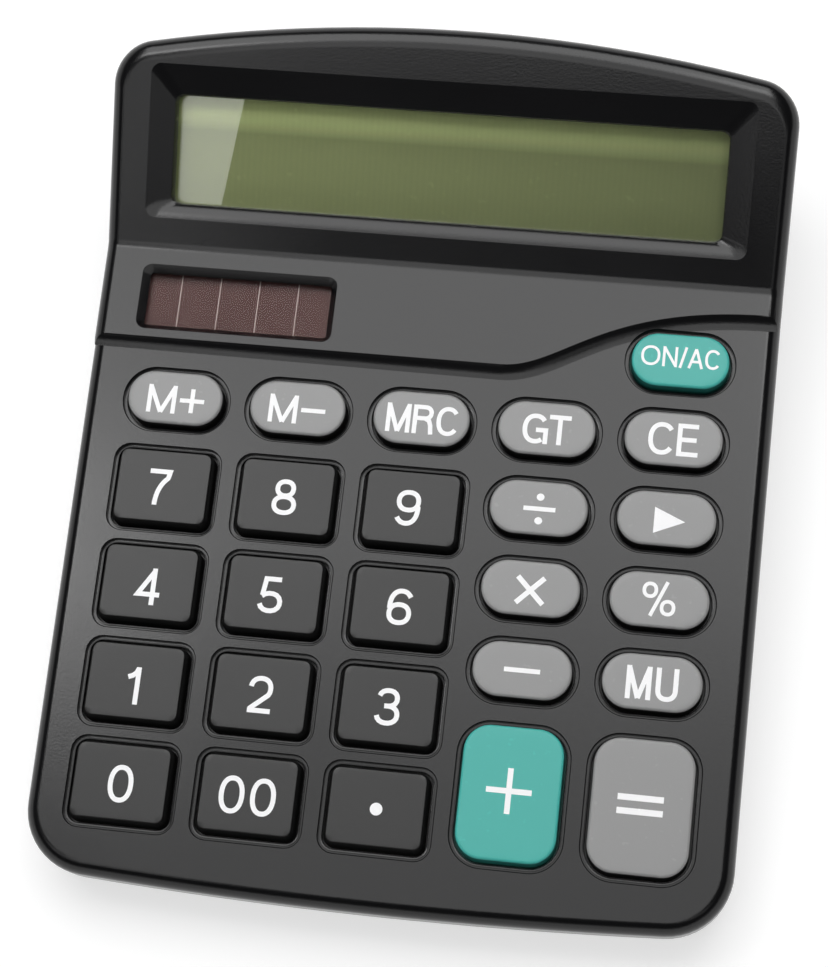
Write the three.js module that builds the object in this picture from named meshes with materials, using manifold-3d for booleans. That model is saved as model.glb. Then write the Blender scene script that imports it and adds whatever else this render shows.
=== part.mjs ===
// Desk calculator: a wedge-shaped case with a raised display head, a solar cell behind a curved step
// and twenty-six sprung keys. Lengths are millimetres. X runs to the right, Y towards the display, Z up.
import * as THREE from 'three';
import { mergeVertices } from 'three/addons/utils/BufferGeometryUtils.js';
import Module from 'manifold-3d';

const wasm = await Module();
wasm.setup();

// Key caps and the gaps between them, seen square to the keyboard deck
const CAP_WIDTH = 16.4;
const NUMBER_CAP_HEIGHT = 13.1;
const OVAL_CAP_HEIGHT = 9.3;
const COLUMN_GAP = 4.6;
const NUMBER_ROW_GAP = 3.5;
const OVAL_ROW_GAP = 4.3;
const MEMORY_ROW_GAP = 4.4;
const TALL_ROW_GAP = 4.7;

// Case outline: margins round the keys, bowed ends and rounded corners
const SIDE_MARGIN = 7.4;
const FRONT_MARGIN = 9.85;
const HEAD_MARGIN = 9.65;
const SIDE_SPREAD = 0.7;
const FRONT_BOW_RADIUS = 800;
const REAR_ARCH_RADIUS = 300;
const FRONT_CORNER_RADIUS = 11;
const REAR_CORNER_RADIUS = 7.5;

// Case section
const WALL = 2;
const EDGE_RADIUS = 2.4;
const DECK_FRONT_HEIGHT = 13.5;
const SKIRT_DEPTH = 6;
const DECK_TILT = THREE.MathUtils.degToRad(4.5);
const HEAD_TILT = THREE.MathUtils.degToRad(24.1);

// Display recess, window and panel, measured along the sloping face
const RECESS_FRONT_MARGIN = 4.4;
const RECESS_REAR_MARGIN = 10.1;
const RECESS_SIDE_MARGIN = 6.9;
const RECESS_CORNER_RADIUS = 1.8;
const RECESS_STEP_DEPTH = 1.2;
const RECESS_STEP_WIDTH = 0.8;
const RECESS_DEPTH = 2.4;
const WINDOW_HEIGHT = 18.4;
const WINDOW_FRONT_MARGIN = 2.25;
const WINDOW_REAR_MARGIN = 5.25;
const WINDOW_SIDE_MARGIN = 4.35;
const WINDOW_CORNER_RADIUS = 0.9;
const WINDOW_LIP = 0.6;
const PANEL_MARGIN = 2;
const LENS_THICKNESS = 1;
const PANEL_THICKNESS = 2.2;
const POCKET_WALL = 1.6;
const RIBBON_WIDTH = 46;
const RIBBON_THICKNESS = 0.3;
const RIBBON_OVERLAP = 4.5;
const RIBBON_REACH = 9;

// Solar cell in the brow
const SOLAR_WIDTH = 33.7;
const SOLAR_HEIGHT = 11.5;
const SOLAR_SIDE_MARGIN = 7.55;
const SOLAR_REAR_MARGIN = 3.75;
const SOLAR_FRONT_MARGIN = 1.95;
const SOLAR_CORNER_RADIUS = 1.6;
const SOLAR_DRAFT = 1.05;
const SOLAR_DEPTH = 1.5;
const SOLAR_LIP = 0.4;
const SOLAR_MARGIN = 1.4;
const SOLAR_COVER_THICKNESS = 0.6;
const SOLAR_CELL_THICKNESS = 1;

// Brow: the curved step in front of the head, deep behind the solar cell and shallow on the right
const BROW_RISE = 1;
const BROW_DRAFT = 1;
const BROW_DEPTH_RIGHT = 5.1;
const BROW_CURVE_X_SHARES = [0.21, 0.38, 0.48, 0.96];

// Forms of the caps and of the openings round them
const NUMBER_CORNER_RADIUS = 1.7;
const TALL_CORNER_RADIUS = 4.4;
const OVAL_CORNER_SHARE = 0.49;
const CAP_RISE = 1.5;
const CAP_DRAFT = 0.35;
const CAP_EDGE = 0.4;
const KEY_GAP = 0.3;
const LEDGE_WIDTH = 0.65;
const LEDGE_DEPTH = 0.4;
const FLANGE_WIDTH = 0.7;
const FLANGE_THICKNESS = 0.9;
const PLUNGER_RADIUS = 2;
const KEY_TRAVEL = 1.3;

// Rubber keypad, circuit board and the parts on it
const SEAT_GAP = 0.3;
const DOME_TOP_RADIUS = 2.3;
const DOME_BASE_RADIUS = 3.6;
const DOME_CLEARANCE = 0.4;
const PLUNGER_LENGTH = 0.8;
const SHEET_THICKNESS = 0.8;
const BOARD_THICKNESS = 1.6;
const BOARD_SIDE_MARGIN = 6.6;
const BOARD_FRONT_Y = 11;
const BOARD_HEAD_MARGIN = 3.7;
const SHEET_INSET = 1;
const SHEET_DOME_MARGIN = 1.5;
const CHIP_RADIUS = 7;
const CHIP_HEIGHT = 1.6;
const CHIP_X = 20;
const CHIP_REAR_MARGIN = 22;
const CAPACITOR_RADIUS = 2.5;
const CAPACITOR_LENGTH = 7;
const CAPACITOR_X = 40;

// Screws and bosses
const BOSS_RADIUS = 2.2;
const POST_RADIUS = 3.6;
const SCREW_RADIUS = 1.2;
const SCREW_HEAD_RADIUS = 2.1;
const SCREW_HEAD_HEIGHT = 1.5;
const SCREW_GRIP = 3;
const SCREW_SEAT = 1.6;
const FRONT_SCREW_COLUMN_SHARE = 1.5;
const FRONT_SCREW_Y = 6.5;
const REAR_SCREW_SIDE_MARGIN = 6.7;
const REAR_SCREW_REAR_MARGIN = 22.6;
const BOARD_BOSS_RADIUS = 1.25;
const BOARD_SCREW_RADIUS = 0.5;
const BOARD_SCREW_HEAD_RADIUS = 1.6;
const BOARD_SCREW_HEAD_HEIGHT = 1;
const BOARD_SCREW_GRIP = 2.6;
const BOARD_SCREW_COLUMN_SHARES = [-1.5, 0.5];
const BOARD_SCREW_NUMBER_ROW_SHARES = [0.5, 2.5];
const BOARD_SCREW_RIGHT_COLUMN_SHARE = 1.5;
const BOARD_SCREW_OVAL_ROW_SHARES = [2.5, 0.5];

// Bottom cover
const LIP_HEIGHT = 1.2;
const LIP_THICKNESS = 1;
const LIP_ROOT = 2;
const BASE_TAPER = 2.5;
const BASE_FILLET = 1.5;
const FLOOR_THICKNESS = 1.8;
const FOOT_DROP = 1;
const FOOT_RADIUS = 5;
const FOOT_RECESS = 0.6;
const FOOT_SIDE_MARGIN = 12.6;
const FOOT_FRONT_Y = 13;
const FOOT_REAR_MARGIN = 13.6;

// Battery bay, its door and contacts
const CELL_RADIUS = 7.1;
const CELL_LENGTH = 48.5;
const CELL_NUB_RADIUS = 2.7;
const CELL_NUB_LENGTH = 1.6;
const BAY_REAR_MARGIN = 9.8;
const BAY_CLEARANCE = 0.7;
const BAY_WALL = 1.5;
const SPRING_LENGTH = 3.4;
const SPRING_RADIUS = 3.4;
const SPRING_TIP_RADIUS = 2.1;
const SPRING_WIRE_RADIUS = 0.3;
const SPRING_TURNS = 3;
const SPRING_STEPS_PER_TURN = 8;
const CONTACT_THICKNESS = 0.5;
const CONTACT_SIZE = 11;
const DOOR_TONGUE_WIDTH = 0.9;
const DOOR_TONGUE_THICKNESS = 0.7;
const DOOR_GROOVE_PITCH = 2.2;
const DOOR_GROOVE_COUNT = 4;
const DOOR_GROOVE_WIDTH = 1;
const DOOR_GROOVE_DEPTH = 0.4;
const DOOR_GROOVE_SPAN = 18;
const DOOR_GROOVE_FROM_FRONT = 5;

// How finely round forms are cut
const FRONT_STEPS = 4;
const REAR_STEPS = 8;
const CORNER_STEPS = 4;
const EDGE_STEPS = 4;
const HIDDEN_STEPS = 1;
const RECESS_STEPS = 3;
const BASE_STEPS = 2;
const BROW_STEPS = 12;
const NUMBER_CORNER_STEPS = 2;
const OVAL_CORNER_STEPS = 3;
const DOME_SIDES = 6;
const SMALL_ROUND_SIDES = 8;
const ROUND_SIDES = 16;
const WIRE_SIDES = 5;

const OVERRUN = 3;
const QUARTER = Math.PI / 2;

// Places on the deck, from the middle of the case's front edge
const COLUMN_PITCH = CAP_WIDTH + COLUMN_GAP;
const NUMBER_ROW_PITCH = NUMBER_CAP_HEIGHT + NUMBER_ROW_GAP;
const OVAL_ROW_PITCH = OVAL_CAP_HEIGHT + OVAL_ROW_GAP;
const NUMBER_FRONT_ROW_Y = FRONT_MARGIN + NUMBER_CAP_HEIGHT / 2;
const NUMBER_REAR_ROW_Y = NUMBER_FRONT_ROW_Y + 3 * NUMBER_ROW_PITCH;
const MEMORY_ROW_Y = NUMBER_REAR_ROW_Y + (NUMBER_CAP_HEIGHT + OVAL_CAP_HEIGHT) / 2 + MEMORY_ROW_GAP;
const ON_ROW_Y = MEMORY_ROW_Y + OVAL_ROW_PITCH;
const TALL_TOP_Y = MEMORY_ROW_Y - 3 * OVAL_ROW_PITCH - OVAL_CAP_HEIGHT / 2 - TALL_ROW_GAP;
const TALL_CAP_HEIGHT = TALL_TOP_Y - FRONT_MARGIN;
const TALL_ROW_Y = FRONT_MARGIN + TALL_CAP_HEIGHT / 2;
const HEAD_Y = ON_ROW_Y + OVAL_CAP_HEIGHT / 2 + HEAD_MARGIN;

// Sizes that follow from the margins
const FRONT_WIDTH = 4 * COLUMN_PITCH + CAP_WIDTH + 2 * SIDE_MARGIN;
const REAR_WIDTH = FRONT_WIDTH + 2 * SIDE_SPREAD;
const RECESS_HEIGHT = WINDOW_FRONT_MARGIN + WINDOW_HEIGHT + WINDOW_REAR_MARGIN;
const RECESS_WIDTH = REAR_WIDTH - 2 * RECESS_SIDE_MARGIN;
const WINDOW_WIDTH = RECESS_WIDTH - 2 * WINDOW_SIDE_MARGIN;
const WINDOW_OFFSET = RECESS_FRONT_MARGIN + WINDOW_FRONT_MARGIN;
const FACE_LENGTH = RECESS_FRONT_MARGIN + RECESS_HEIGHT + RECESS_REAR_MARGIN;
const HEAD_LENGTH = FACE_LENGTH * Math.cos(HEAD_TILT);
const CASE_LENGTH = HEAD_Y + HEAD_LENGTH;
const BROW_DEPTH_LEFT = SOLAR_REAR_MARGIN + SOLAR_HEIGHT + SOLAR_FRONT_MARGIN;
const BOARD_WIDTH = FRONT_WIDTH - 2 * BOARD_SIDE_MARGIN;
const BOARD_REAR_Y = HEAD_Y - BOARD_HEAD_MARGIN;
const CHIP_Y = BOARD_REAR_Y - CHIP_REAR_MARGIN;
const SHEET_REAR_Y = ON_ROW_Y + DOME_BASE_RADIUS + SHEET_DOME_MARGIN;

// Levels in the deck frame, where zero is the keyboard deck
const FLANGE_TOP_Z = -(WALL + SEAT_GAP);
const FLANGE_BOTTOM_Z = FLANGE_TOP_Z - FLANGE_THICKNESS;
const PLUNGER_Z = FLANGE_BOTTOM_Z - PLUNGER_LENGTH;
const DOME_TOP_Z = PLUNGER_Z - SEAT_GAP;
const SHEET_TOP_Z = PLUNGER_Z - KEY_TRAVEL - DOME_CLEARANCE;
const SHEET_BOTTOM_Z = SHEET_TOP_Z - SHEET_THICKNESS;
const BOARD_TOP_Z = SHEET_BOTTOM_Z - SEAT_GAP;
const BOARD_BOTTOM_Z = BOARD_TOP_Z - BOARD_THICKNESS;
const SKIRT_Z = -SKIRT_DEPTH;

// The deck frame sits in the case tilted up towards the back, the face frame on the head tilted further
const deckMatrix = new THREE.Matrix4().makeRotationX(DECK_TILT).setPosition(0, 0, DECK_FRONT_HEIGHT);
const faceMatrix = new THREE.Matrix4().makeRotationX(HEAD_TILT).setPosition(0, HEAD_Y, BROW_RISE);

// Colours and finishes
function finish(color, roughness, metalness = 0) {
  return new THREE.MeshStandardMaterial({ color, roughness, metalness });
}
const blackCase = finish(0x3a3a3c, 0.55);
const blackKey = finish(0x333335, 0.45);
const greyKey = finish(0x8f8f90, 0.45);
const tealKey = finish(0x4fb3a5, 0.4);
const clearLens = finish(0xdfe6dc, 0.05);
clearLens.transparent = true;
clearLens.opacity = 0.3;
const displayGreen = finish(0x8a9470, 0.3);
const cellBrown = finish(0x5c4440, 0.25);
const boardGreen = finish(0x2c5a38, 0.5);
const rubberGrey = finish(0x9a9c9e, 0.8);
const rubberBlack = finish(0x1c1c1c, 0.9);
const epoxyBlack = finish(0x141414, 0.35);
const steel = finish(0xb8babd, 0.3, 0.9);
const ribbonAmber = finish(0xb98c4a, 0.4);
const cellWrap = finish(0x2f4f7d, 0.35, 0.3);

// Closed loops and lofts

function roundedLoop(width, height, radius, steps) {
  const loop = [];
  for (let corner = 0; corner < 4; corner += 1) {
    const signX = corner === 0 || corner === 3 ? 1 : -1;
    const signY = corner < 2 ? 1 : -1;
    for (let step = 0; step <= steps; step += 1) {
      const angle = QUARTER * (corner + step / steps);
      const x = signX * (width / 2 - radius) + radius * Math.cos(angle);
      const y = signY * (height / 2 - radius) + radius * Math.sin(angle);
      loop.push(new THREE.Vector2(x, y));
    }
  }
  return loop;
}

function polygonLoop(radius, sides) {
  const corners = Array.from({ length: sides }, (_, i) => (2 * Math.PI * i) / sides);
  return corners.map((angle) => new THREE.Vector2(radius * Math.cos(angle), radius * Math.sin(angle)));
}

function atHeight(loop, z) {
  return loop.map((point) => new THREE.Vector3(point.x, point.y, z));
}

// Joins rings of equal count from the lowest to the highest; topCaps lists the flat faces that close the top
function loft(rings, topCaps) {
  const count = rings[0].length;
  const positions = rings.flat().flatMap((point) => [point.x, point.y, point.z]);
  const indices = [];
  for (let ring = 0; ring + 1 < rings.length; ring += 1) {
    for (let i = 0; i < count; i += 1) {
      const a = ring * count + i;
      const b = ring * count + ((i + 1) % count);
      indices.push(a, b, b + count, a, b + count, a + count);
    }
  }
  const all = rings[0].map((_, i) => i);
  addCap(indices, rings[0], all, 0, true);
  const last = rings.length - 1;
  for (const cap of topCaps ?? [all]) {
    addCap(indices, rings[last], cap, last * count, false);
  }
  const geometry = new THREE.BufferGeometry();
  geometry.setAttribute('position', new THREE.Float32BufferAttribute(positions, 3));
  geometry.setIndex(indices);
  return geometry;
}

function addCap(indices, ring, cap, offset, facesDown) {
  const contour = cap.map((i) => new THREE.Vector2(ring[i].x, ring[i].y));
  for (const [a, b, c] of THREE.ShapeUtils.triangulateShape(contour, [])) {
    const [first, second, third] = facesDown ? [a, c, b] : [a, b, c];
    indices.push(offset + cap[first], offset + cap[second], offset + cap[third]);
  }
}

function slab(loop, low, high) {
  return loft([atHeight(loop, low), atHeight(loop, high)]);
}

function rod(radius, low, high, sides = ROUND_SIDES) {
  const geometry = new THREE.CylinderGeometry(radius, radius, high - low, sides);
  return geometry.rotateX(QUARTER).translate(0, 0, (low + high) / 2);
}

function block(lowX, highX, lowY, highY, lowZ, highZ) {
  const geometry = new THREE.BoxGeometry(highX - lowX, highY - lowY, highZ - lowZ);
  return geometry.translate((lowX + highX) / 2, (lowY + highY) / 2, (lowZ + highZ) / 2);
}

// Solids that are cut and joined

function toSolid(geometry, matrix) {
  const bare = geometry.clone();
  bare.deleteAttribute('normal');
  bare.deleteAttribute('uv');
  if (matrix) {
    bare.applyMatrix4(matrix);
  }
  const merged = mergeVertices(bare);
  const vertProperties = new Float32Array(merged.attributes.position.array);
  const triVerts = new Uint32Array(merged.index.array);
  return new wasm.Manifold(new wasm.Mesh({ numProp: 3, vertProperties, triVerts }));
}

function toGeometry(solid) {
  const mesh = solid.getMesh();
  const geometry = new THREE.BufferGeometry();
  geometry.setAttribute('position', new THREE.BufferAttribute(mesh.vertProperties, 3));
  geometry.setIndex(new THREE.BufferAttribute(mesh.triVerts, 1));
  geometry.computeVertexNormals();
  return geometry;
}

function moved(x, y, z = 0) {
  return new THREE.Matrix4().makeTranslation(x, y, z);
}

// Case outline: arcs that meet the straight sides smoothly, each point with its outward normal

function caseOutline(creaseY) {
  const frontX = FRONT_WIDTH / 2 - FRONT_CORNER_RADIUS;
  const rearX = REAR_WIDTH / 2 - REAR_CORNER_RADIUS;
  const frontY = FRONT_BOW_RADIUS - Math.sqrt((FRONT_BOW_RADIUS - FRONT_CORNER_RADIUS) ** 2 - frontX ** 2);
  const rearCentreY = CASE_LENGTH - REAR_ARCH_RADIUS;
  const rearY = rearCentreY + Math.sqrt((REAR_ARCH_RADIUS - REAR_CORNER_RADIUS) ** 2 - rearX ** 2);
  const bowAngle = Math.asin(frontX / (FRONT_BOW_RADIUS - FRONT_CORNER_RADIUS));
  const archAngle = Math.asin(rearX / (REAR_ARCH_RADIUS - REAR_CORNER_RADIUS));
  const run = Math.hypot(rearX - frontX, rearY - frontY);
  const lean = Math.atan2(rearX - frontX, rearY - frontY)
    - Math.asin((FRONT_CORNER_RADIUS - REAR_CORNER_RADIUS) / run);
  const arcs = [
    [0, FRONT_BOW_RADIUS, FRONT_BOW_RADIUS, -QUARTER, -QUARTER + bowAngle, FRONT_STEPS / 2],
    [frontX, frontY, FRONT_CORNER_RADIUS, -QUARTER + bowAngle, -lean, CORNER_STEPS],
    [rearX, rearY, REAR_CORNER_RADIUS, -lean, QUARTER - archAngle, CORNER_STEPS],
    [0, rearCentreY, REAR_ARCH_RADIUS, QUARTER - archAngle, QUARTER, REAR_STEPS / 2],
  ];
  const half = [];
  arcs.forEach(([x, y, radius, from, to, steps], index) => {
    for (let step = index % 2 === 0 ? 0 : 1; step <= steps; step += 1) {
      const angle = from + ((to - from) * step) / steps;
      const normal = new THREE.Vector2(Math.cos(angle), Math.sin(angle));
      const point = new THREE.Vector2(x, y).addScaledVector(normal, radius);
      half.push({ point, normal });
    }
    if (index === 1) {
      const start = half[half.length - 1].point;
      const x = start.x + (creaseY - start.y) * Math.tan(lean);
      half.push({ point: new THREE.Vector2(x, creaseY), normal: new THREE.Vector2(1, 0) });
    }
  });
  const mirrored = half.slice(1, -1).reverse().map(({ point, normal }) => ({
    point: new THREE.Vector2(-point.x, point.y),
    normal: new THREE.Vector2(-normal.x, normal.y),
  }));
  return [...half, ...mirrored];
}

function insetLoop(outline, inset) {
  return outline.map(({ point, normal }) => point.clone().addScaledVector(normal, -inset));
}

// A body with the case's outline, a flat deck, a sloping head face and a rounded upper edge
function wedgeBody(inset, deckZ, faceDrop, bottomZ, edge, edgeSteps) {
  const tan = Math.tan(HEAD_TILT);
  const creaseY = HEAD_Y + (deckZ - BROW_RISE + faceDrop) / tan;
  const surface = (y) => deckZ + Math.max(0, y - creaseY) * tan;
  const outline = caseOutline(creaseY);
  const inner = insetLoop(outline, inset + edge);
  const rings = [atHeight(insetLoop(outline, inset), bottomZ)];
  for (let step = 0; step <= edgeSteps; step += 1) {
    const angle = (QUARTER * step) / edgeSteps;
    const ring = insetLoop(outline, inset + edge * (1 - Math.cos(angle)));
    const drop = edge * (1 - Math.sin(angle));
    rings.push(ring.map((point, i) => new THREE.Vector3(point.x, point.y, surface(inner[i].y) - drop)));
  }
  const indices = outline.map((_, i) => i);
  const deckCap = indices.filter((i) => outline[i].point.y <= creaseY);
  const faceCap = indices.filter((i) => outline[i].point.y >= creaseY);
  return loft(rings, [deckCap, faceCap]);
}

// Everything behind the curved step, with the step's front wall leaning back
function browPrism() {
  const halfWidth = REAR_WIDTH / 2;
  const [startX, nearX, farX, endX] = BROW_CURVE_X_SHARES.map((share) => share * halfWidth);
  const lowY = HEAD_Y - BROW_DEPTH_LEFT;
  const highY = HEAD_Y - BROW_DEPTH_RIGHT;
  const curve = new THREE.CubicBezierCurve(
    new THREE.Vector2(startX, lowY),
    new THREE.Vector2(nearX, lowY),
    new THREE.Vector2(farX, highY),
    new THREE.Vector2(endX, highY),
  );
  const side = halfWidth + OVERRUN;
  const back = CASE_LENGTH + OVERRUN;
  const ringAt = (z) => {
    const offset = BROW_DRAFT * (z / BROW_RISE - 1);
    const edge = [];
    for (let step = 0; step <= BROW_STEPS; step += 1) {
      const point = curve.getPoint(step / BROW_STEPS);
      const tangent = curve.getTangent(step / BROW_STEPS);
      edge.push(new THREE.Vector2(point.x - tangent.y * offset, point.y + tangent.x * offset));
    }
    const first = new THREE.Vector2(-side, lowY + offset);
    const last = new THREE.Vector2(side, highY + offset);
    return atHeight([first, ...edge, last, new THREE.Vector2(side, back), new THREE.Vector2(-side, back)], z);
  };
  const top = BROW_RISE + HEAD_LENGTH;
  const upper = ringAt(BROW_RISE);
  return loft([ringAt(-BROW_RISE), upper, upper.map((point) => new THREE.Vector3(point.x, point.y, top))]);
}

// Keys: where each one stands and what shape it has

const kinds = {
  number: {
    height: NUMBER_CAP_HEIGHT, radius: NUMBER_CORNER_RADIUS, steps: NUMBER_CORNER_STEPS,
  },
  oval: {
    height: OVAL_CAP_HEIGHT, radius: OVAL_CAP_HEIGHT * OVAL_CORNER_SHARE, steps: OVAL_CORNER_STEPS,
  },
  tall: {
    height: TALL_CAP_HEIGHT, radius: TALL_CORNER_RADIUS, steps: OVAL_CORNER_STEPS,
  },
};

function numberKeys() {
  const rows = [['0', '00', 'point'], ['1', '2', '3'], ['4', '5', '6'], ['7', '8', '9']];
  return rows.flatMap((row, rowIndex) => row.map((label, column) => ({
    name: `key_${label}`,
    kind: kinds.number,
    x: (column - 2) * COLUMN_PITCH,
    y: NUMBER_FRONT_ROW_Y + rowIndex * NUMBER_ROW_PITCH,
    material: blackKey,
  })));
}

function ovalKeys() {
  const memory = ['memory_plus', 'memory_minus', 'memory_recall', 'grand_total', 'clear_entry'];
  const right = [['divide', 'backspace'], ['multiply', 'percent'], ['minus', 'markup']];
  const places = memory.map((label, column) => ({ label, column, row: 0 }));
  right.forEach((pair, index) => {
    pair.forEach((label, column) => places.push({ label, column: column + 3, row: -1 - index }));
  });
  places.push({ label: 'on_clear', column: 4, row: 1 });
  return places.map(({ label, column, row }) => ({
    name: `key_${label}`,
    kind: kinds.oval,
    x: (column - 2) * COLUMN_PITCH,
    y: MEMORY_ROW_Y + row * OVAL_ROW_PITCH,
    material: label === 'on_clear' ? tealKey : greyKey,
  }));
}

function tallKeys() {
  return [['plus', 3, tealKey], ['equals', 4, greyKey]].map(([label, column, material]) => ({
    name: `key_${label}`,
    kind: kinds.tall,
    x: (column - 2) * COLUMN_PITCH,
    y: TALL_ROW_Y,
    material,
  }));
}

const keys = [...numberKeys(), ...ovalKeys(), ...tallKeys()];

function keyLoop(kind, grow) {
  return roundedLoop(CAP_WIDTH + 2 * grow, kind.height + 2 * grow, kind.radius + grow, kind.steps);
}

// One cap, lofted from its plunger through the retaining flange to the drafted top
function keyCap(kind) {
  const width = 2 * PLUNGER_RADIUS;
  const plunger = roundedLoop(width, width, width * OVAL_CORNER_SHARE, kind.steps);
  return loft([
    atHeight(plunger, PLUNGER_Z),
    atHeight(plunger, FLANGE_BOTTOM_Z),
    atHeight(keyLoop(kind, FLANGE_WIDTH), FLANGE_BOTTOM_Z),
    atHeight(keyLoop(kind, FLANGE_WIDTH), FLANGE_TOP_Z),
    atHeight(keyLoop(kind, 0), FLANGE_TOP_Z),
    atHeight(keyLoop(kind, -CAP_DRAFT), CAP_RISE - CAP_EDGE),
    atHeight(keyLoop(kind, -CAP_DRAFT - CAP_EDGE), CAP_RISE),
  ]);
}

// Places shared by the case, the board and the screws, in the deck frame

const frontScrewX = FRONT_SCREW_COLUMN_SHARE * COLUMN_PITCH;
const rearScrewX = REAR_WIDTH / 2 - REAR_SCREW_SIDE_MARGIN;
const rearScrewY = CASE_LENGTH - REAR_SCREW_REAR_MARGIN;
const caseScrews = [
  { x: -frontScrewX, y: FRONT_SCREW_Y },
  { x: frontScrewX, y: FRONT_SCREW_Y },
  { x: -rearScrewX, y: rearScrewY },
  { x: rearScrewX, y: rearScrewY },
];

const boardScrews = [];
for (const column of BOARD_SCREW_COLUMN_SHARES) {
  for (const row of BOARD_SCREW_NUMBER_ROW_SHARES) {
    boardScrews.push({ x: column * COLUMN_PITCH, y: NUMBER_FRONT_ROW_Y + row * NUMBER_ROW_PITCH });
  }
}
for (const row of BOARD_SCREW_OVAL_ROW_SHARES) {
  const x = BOARD_SCREW_RIGHT_COLUMN_SHARE * COLUMN_PITCH;
  boardScrews.push({ x, y: MEMORY_ROW_Y - row * OVAL_ROW_PITCH });
}

const footX = FRONT_WIDTH / 2 - FOOT_SIDE_MARGIN;
const feet = [['left', -1], ['right', 1]].flatMap(([side, sign]) => [
  { name: `foot_front_${side}`, x: sign * footX, y: FOOT_FRONT_Y },
  { name: `foot_rear_${side}`, x: sign * footX, y: CASE_LENGTH - FOOT_REAR_MARGIN },
]);

const solarX = -(REAR_WIDTH / 2 - SOLAR_SIDE_MARGIN - SOLAR_WIDTH / 2);
const solarY = HEAD_Y - SOLAR_REAR_MARGIN - SOLAR_HEIGHT / 2;
const recessY = RECESS_FRONT_MARGIN + RECESS_HEIGHT / 2;
const windowY = WINDOW_OFFSET + WINDOW_HEIGHT / 2;
const lensZ = -(RECESS_DEPTH + WINDOW_LIP);
const panelZ = lensZ - SEAT_GAP - LENS_THICKNESS - SEAT_GAP;
const panelBackZ = panelZ - PANEL_THICKNESS;
const pocketWidth = WINDOW_WIDTH + 2 * (PANEL_MARGIN + SEAT_GAP);
const pocketHeight = WINDOW_HEIGHT + 2 * (PANEL_MARGIN + SEAT_GAP);
const solarFloorZ = BROW_RISE - SOLAR_DEPTH;
const solarCoverZ = solarFloorZ - SOLAR_LIP;
const solarCellZ = solarCoverZ - SEAT_GAP - SOLAR_COVER_THICKNESS - SEAT_GAP;
const solarBackZ = solarCellZ - SOLAR_CELL_THICKNESS;
const cellWidth = SOLAR_WIDTH - 2 * SOLAR_DRAFT + 2 * SOLAR_MARGIN;
const cellHeight = SOLAR_HEIGHT - 2 * SOLAR_DRAFT + 2 * SOLAR_MARGIN;

function centredSlab(width, height, low, high) {
  return block(-width / 2, width / 2, -height / 2, height / 2, low, high);
}

// Top cover

function displayPocket(width, height, low, high) {
  return toSolid(centredSlab(width, height, low, high), faceMatrix.clone().multiply(moved(0, windowY)));
}

function shellHollow() {
  const faceDrop = WALL / Math.cos(HEAD_TILT);
  const kept = [
    displayPocket(pocketWidth + 2 * POCKET_WALL, pocketHeight + 2 * POCKET_WALL, panelBackZ, 0),
    toSolid(
      centredSlab(cellWidth + 2 * POCKET_WALL, cellHeight + 2 * POCKET_WALL, solarBackZ, 0),
      moved(solarX, solarY),
    ),
  ];
  for (const { x, y } of caseScrews) {
    kept.push(toSolid(rod(BOSS_RADIUS, SKIRT_Z, CASE_LENGTH, SMALL_ROUND_SIDES), moved(x, y)));
  }
  for (const { x, y } of boardScrews) {
    kept.push(toSolid(rod(BOARD_BOSS_RADIUS, BOARD_TOP_Z + SEAT_GAP, 0, SMALL_ROUND_SIDES), moved(x, y)));
  }
  const hollow = toSolid(wedgeBody(WALL, -WALL, faceDrop, SKIRT_Z - OVERRUN, WALL / 2, HIDDEN_STEPS));
  return hollow.subtract(wasm.Manifold.union(kept));
}

// The stepped recess round the display: a steep rim, a sloping ledge and the window
function displayRecess() {
  const stepWidth = RECESS_WIDTH - 2 * RECESS_STEP_WIDTH;
  const stepHeight = RECESS_HEIGHT - 2 * RECESS_STEP_WIDTH;
  const rim = roundedLoop(RECESS_WIDTH, RECESS_HEIGHT, RECESS_CORNER_RADIUS, RECESS_STEPS);
  const step = roundedLoop(stepWidth, stepHeight, RECESS_CORNER_RADIUS, RECESS_STEPS);
  const opening = roundedLoop(WINDOW_WIDTH, WINDOW_HEIGHT, WINDOW_CORNER_RADIUS, RECESS_STEPS);
  opening.forEach((point) => point.setY(point.y + windowY - recessY));
  const recess = loft([
    atHeight(opening, lensZ - SEAT_GAP),
    atHeight(opening, -RECESS_DEPTH),
    atHeight(step, -RECESS_STEP_DEPTH),
    atHeight(rim, 0),
    atHeight(rim, OVERRUN),
  ]);
  return toSolid(recess, faceMatrix.clone().multiply(moved(0, recessY)));
}

function solarRecess() {
  const rim = roundedLoop(SOLAR_WIDTH, SOLAR_HEIGHT, SOLAR_CORNER_RADIUS, RECESS_STEPS);
  const opening = roundedLoop(
    SOLAR_WIDTH - 2 * SOLAR_DRAFT, SOLAR_HEIGHT - 2 * SOLAR_DRAFT, SOLAR_CORNER_RADIUS, RECESS_STEPS,
  );
  const recess = loft([
    atHeight(opening, solarCoverZ - SEAT_GAP),
    atHeight(opening, solarFloorZ),
    atHeight(rim, BROW_RISE),
    atHeight(rim, BROW_RISE + OVERRUN),
  ]);
  return toSolid(recess, moved(solarX, solarY));
}

function keyOpenings() {
  return keys.flatMap(({ kind, x, y }) => [
    toSolid(slab(keyLoop(kind, KEY_GAP), -WALL - OVERRUN, OVERRUN), moved(x, y)),
    toSolid(slab(keyLoop(kind, KEY_GAP + LEDGE_WIDTH), -LEDGE_DEPTH, OVERRUN), moved(x, y)),
  ]);
}

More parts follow.
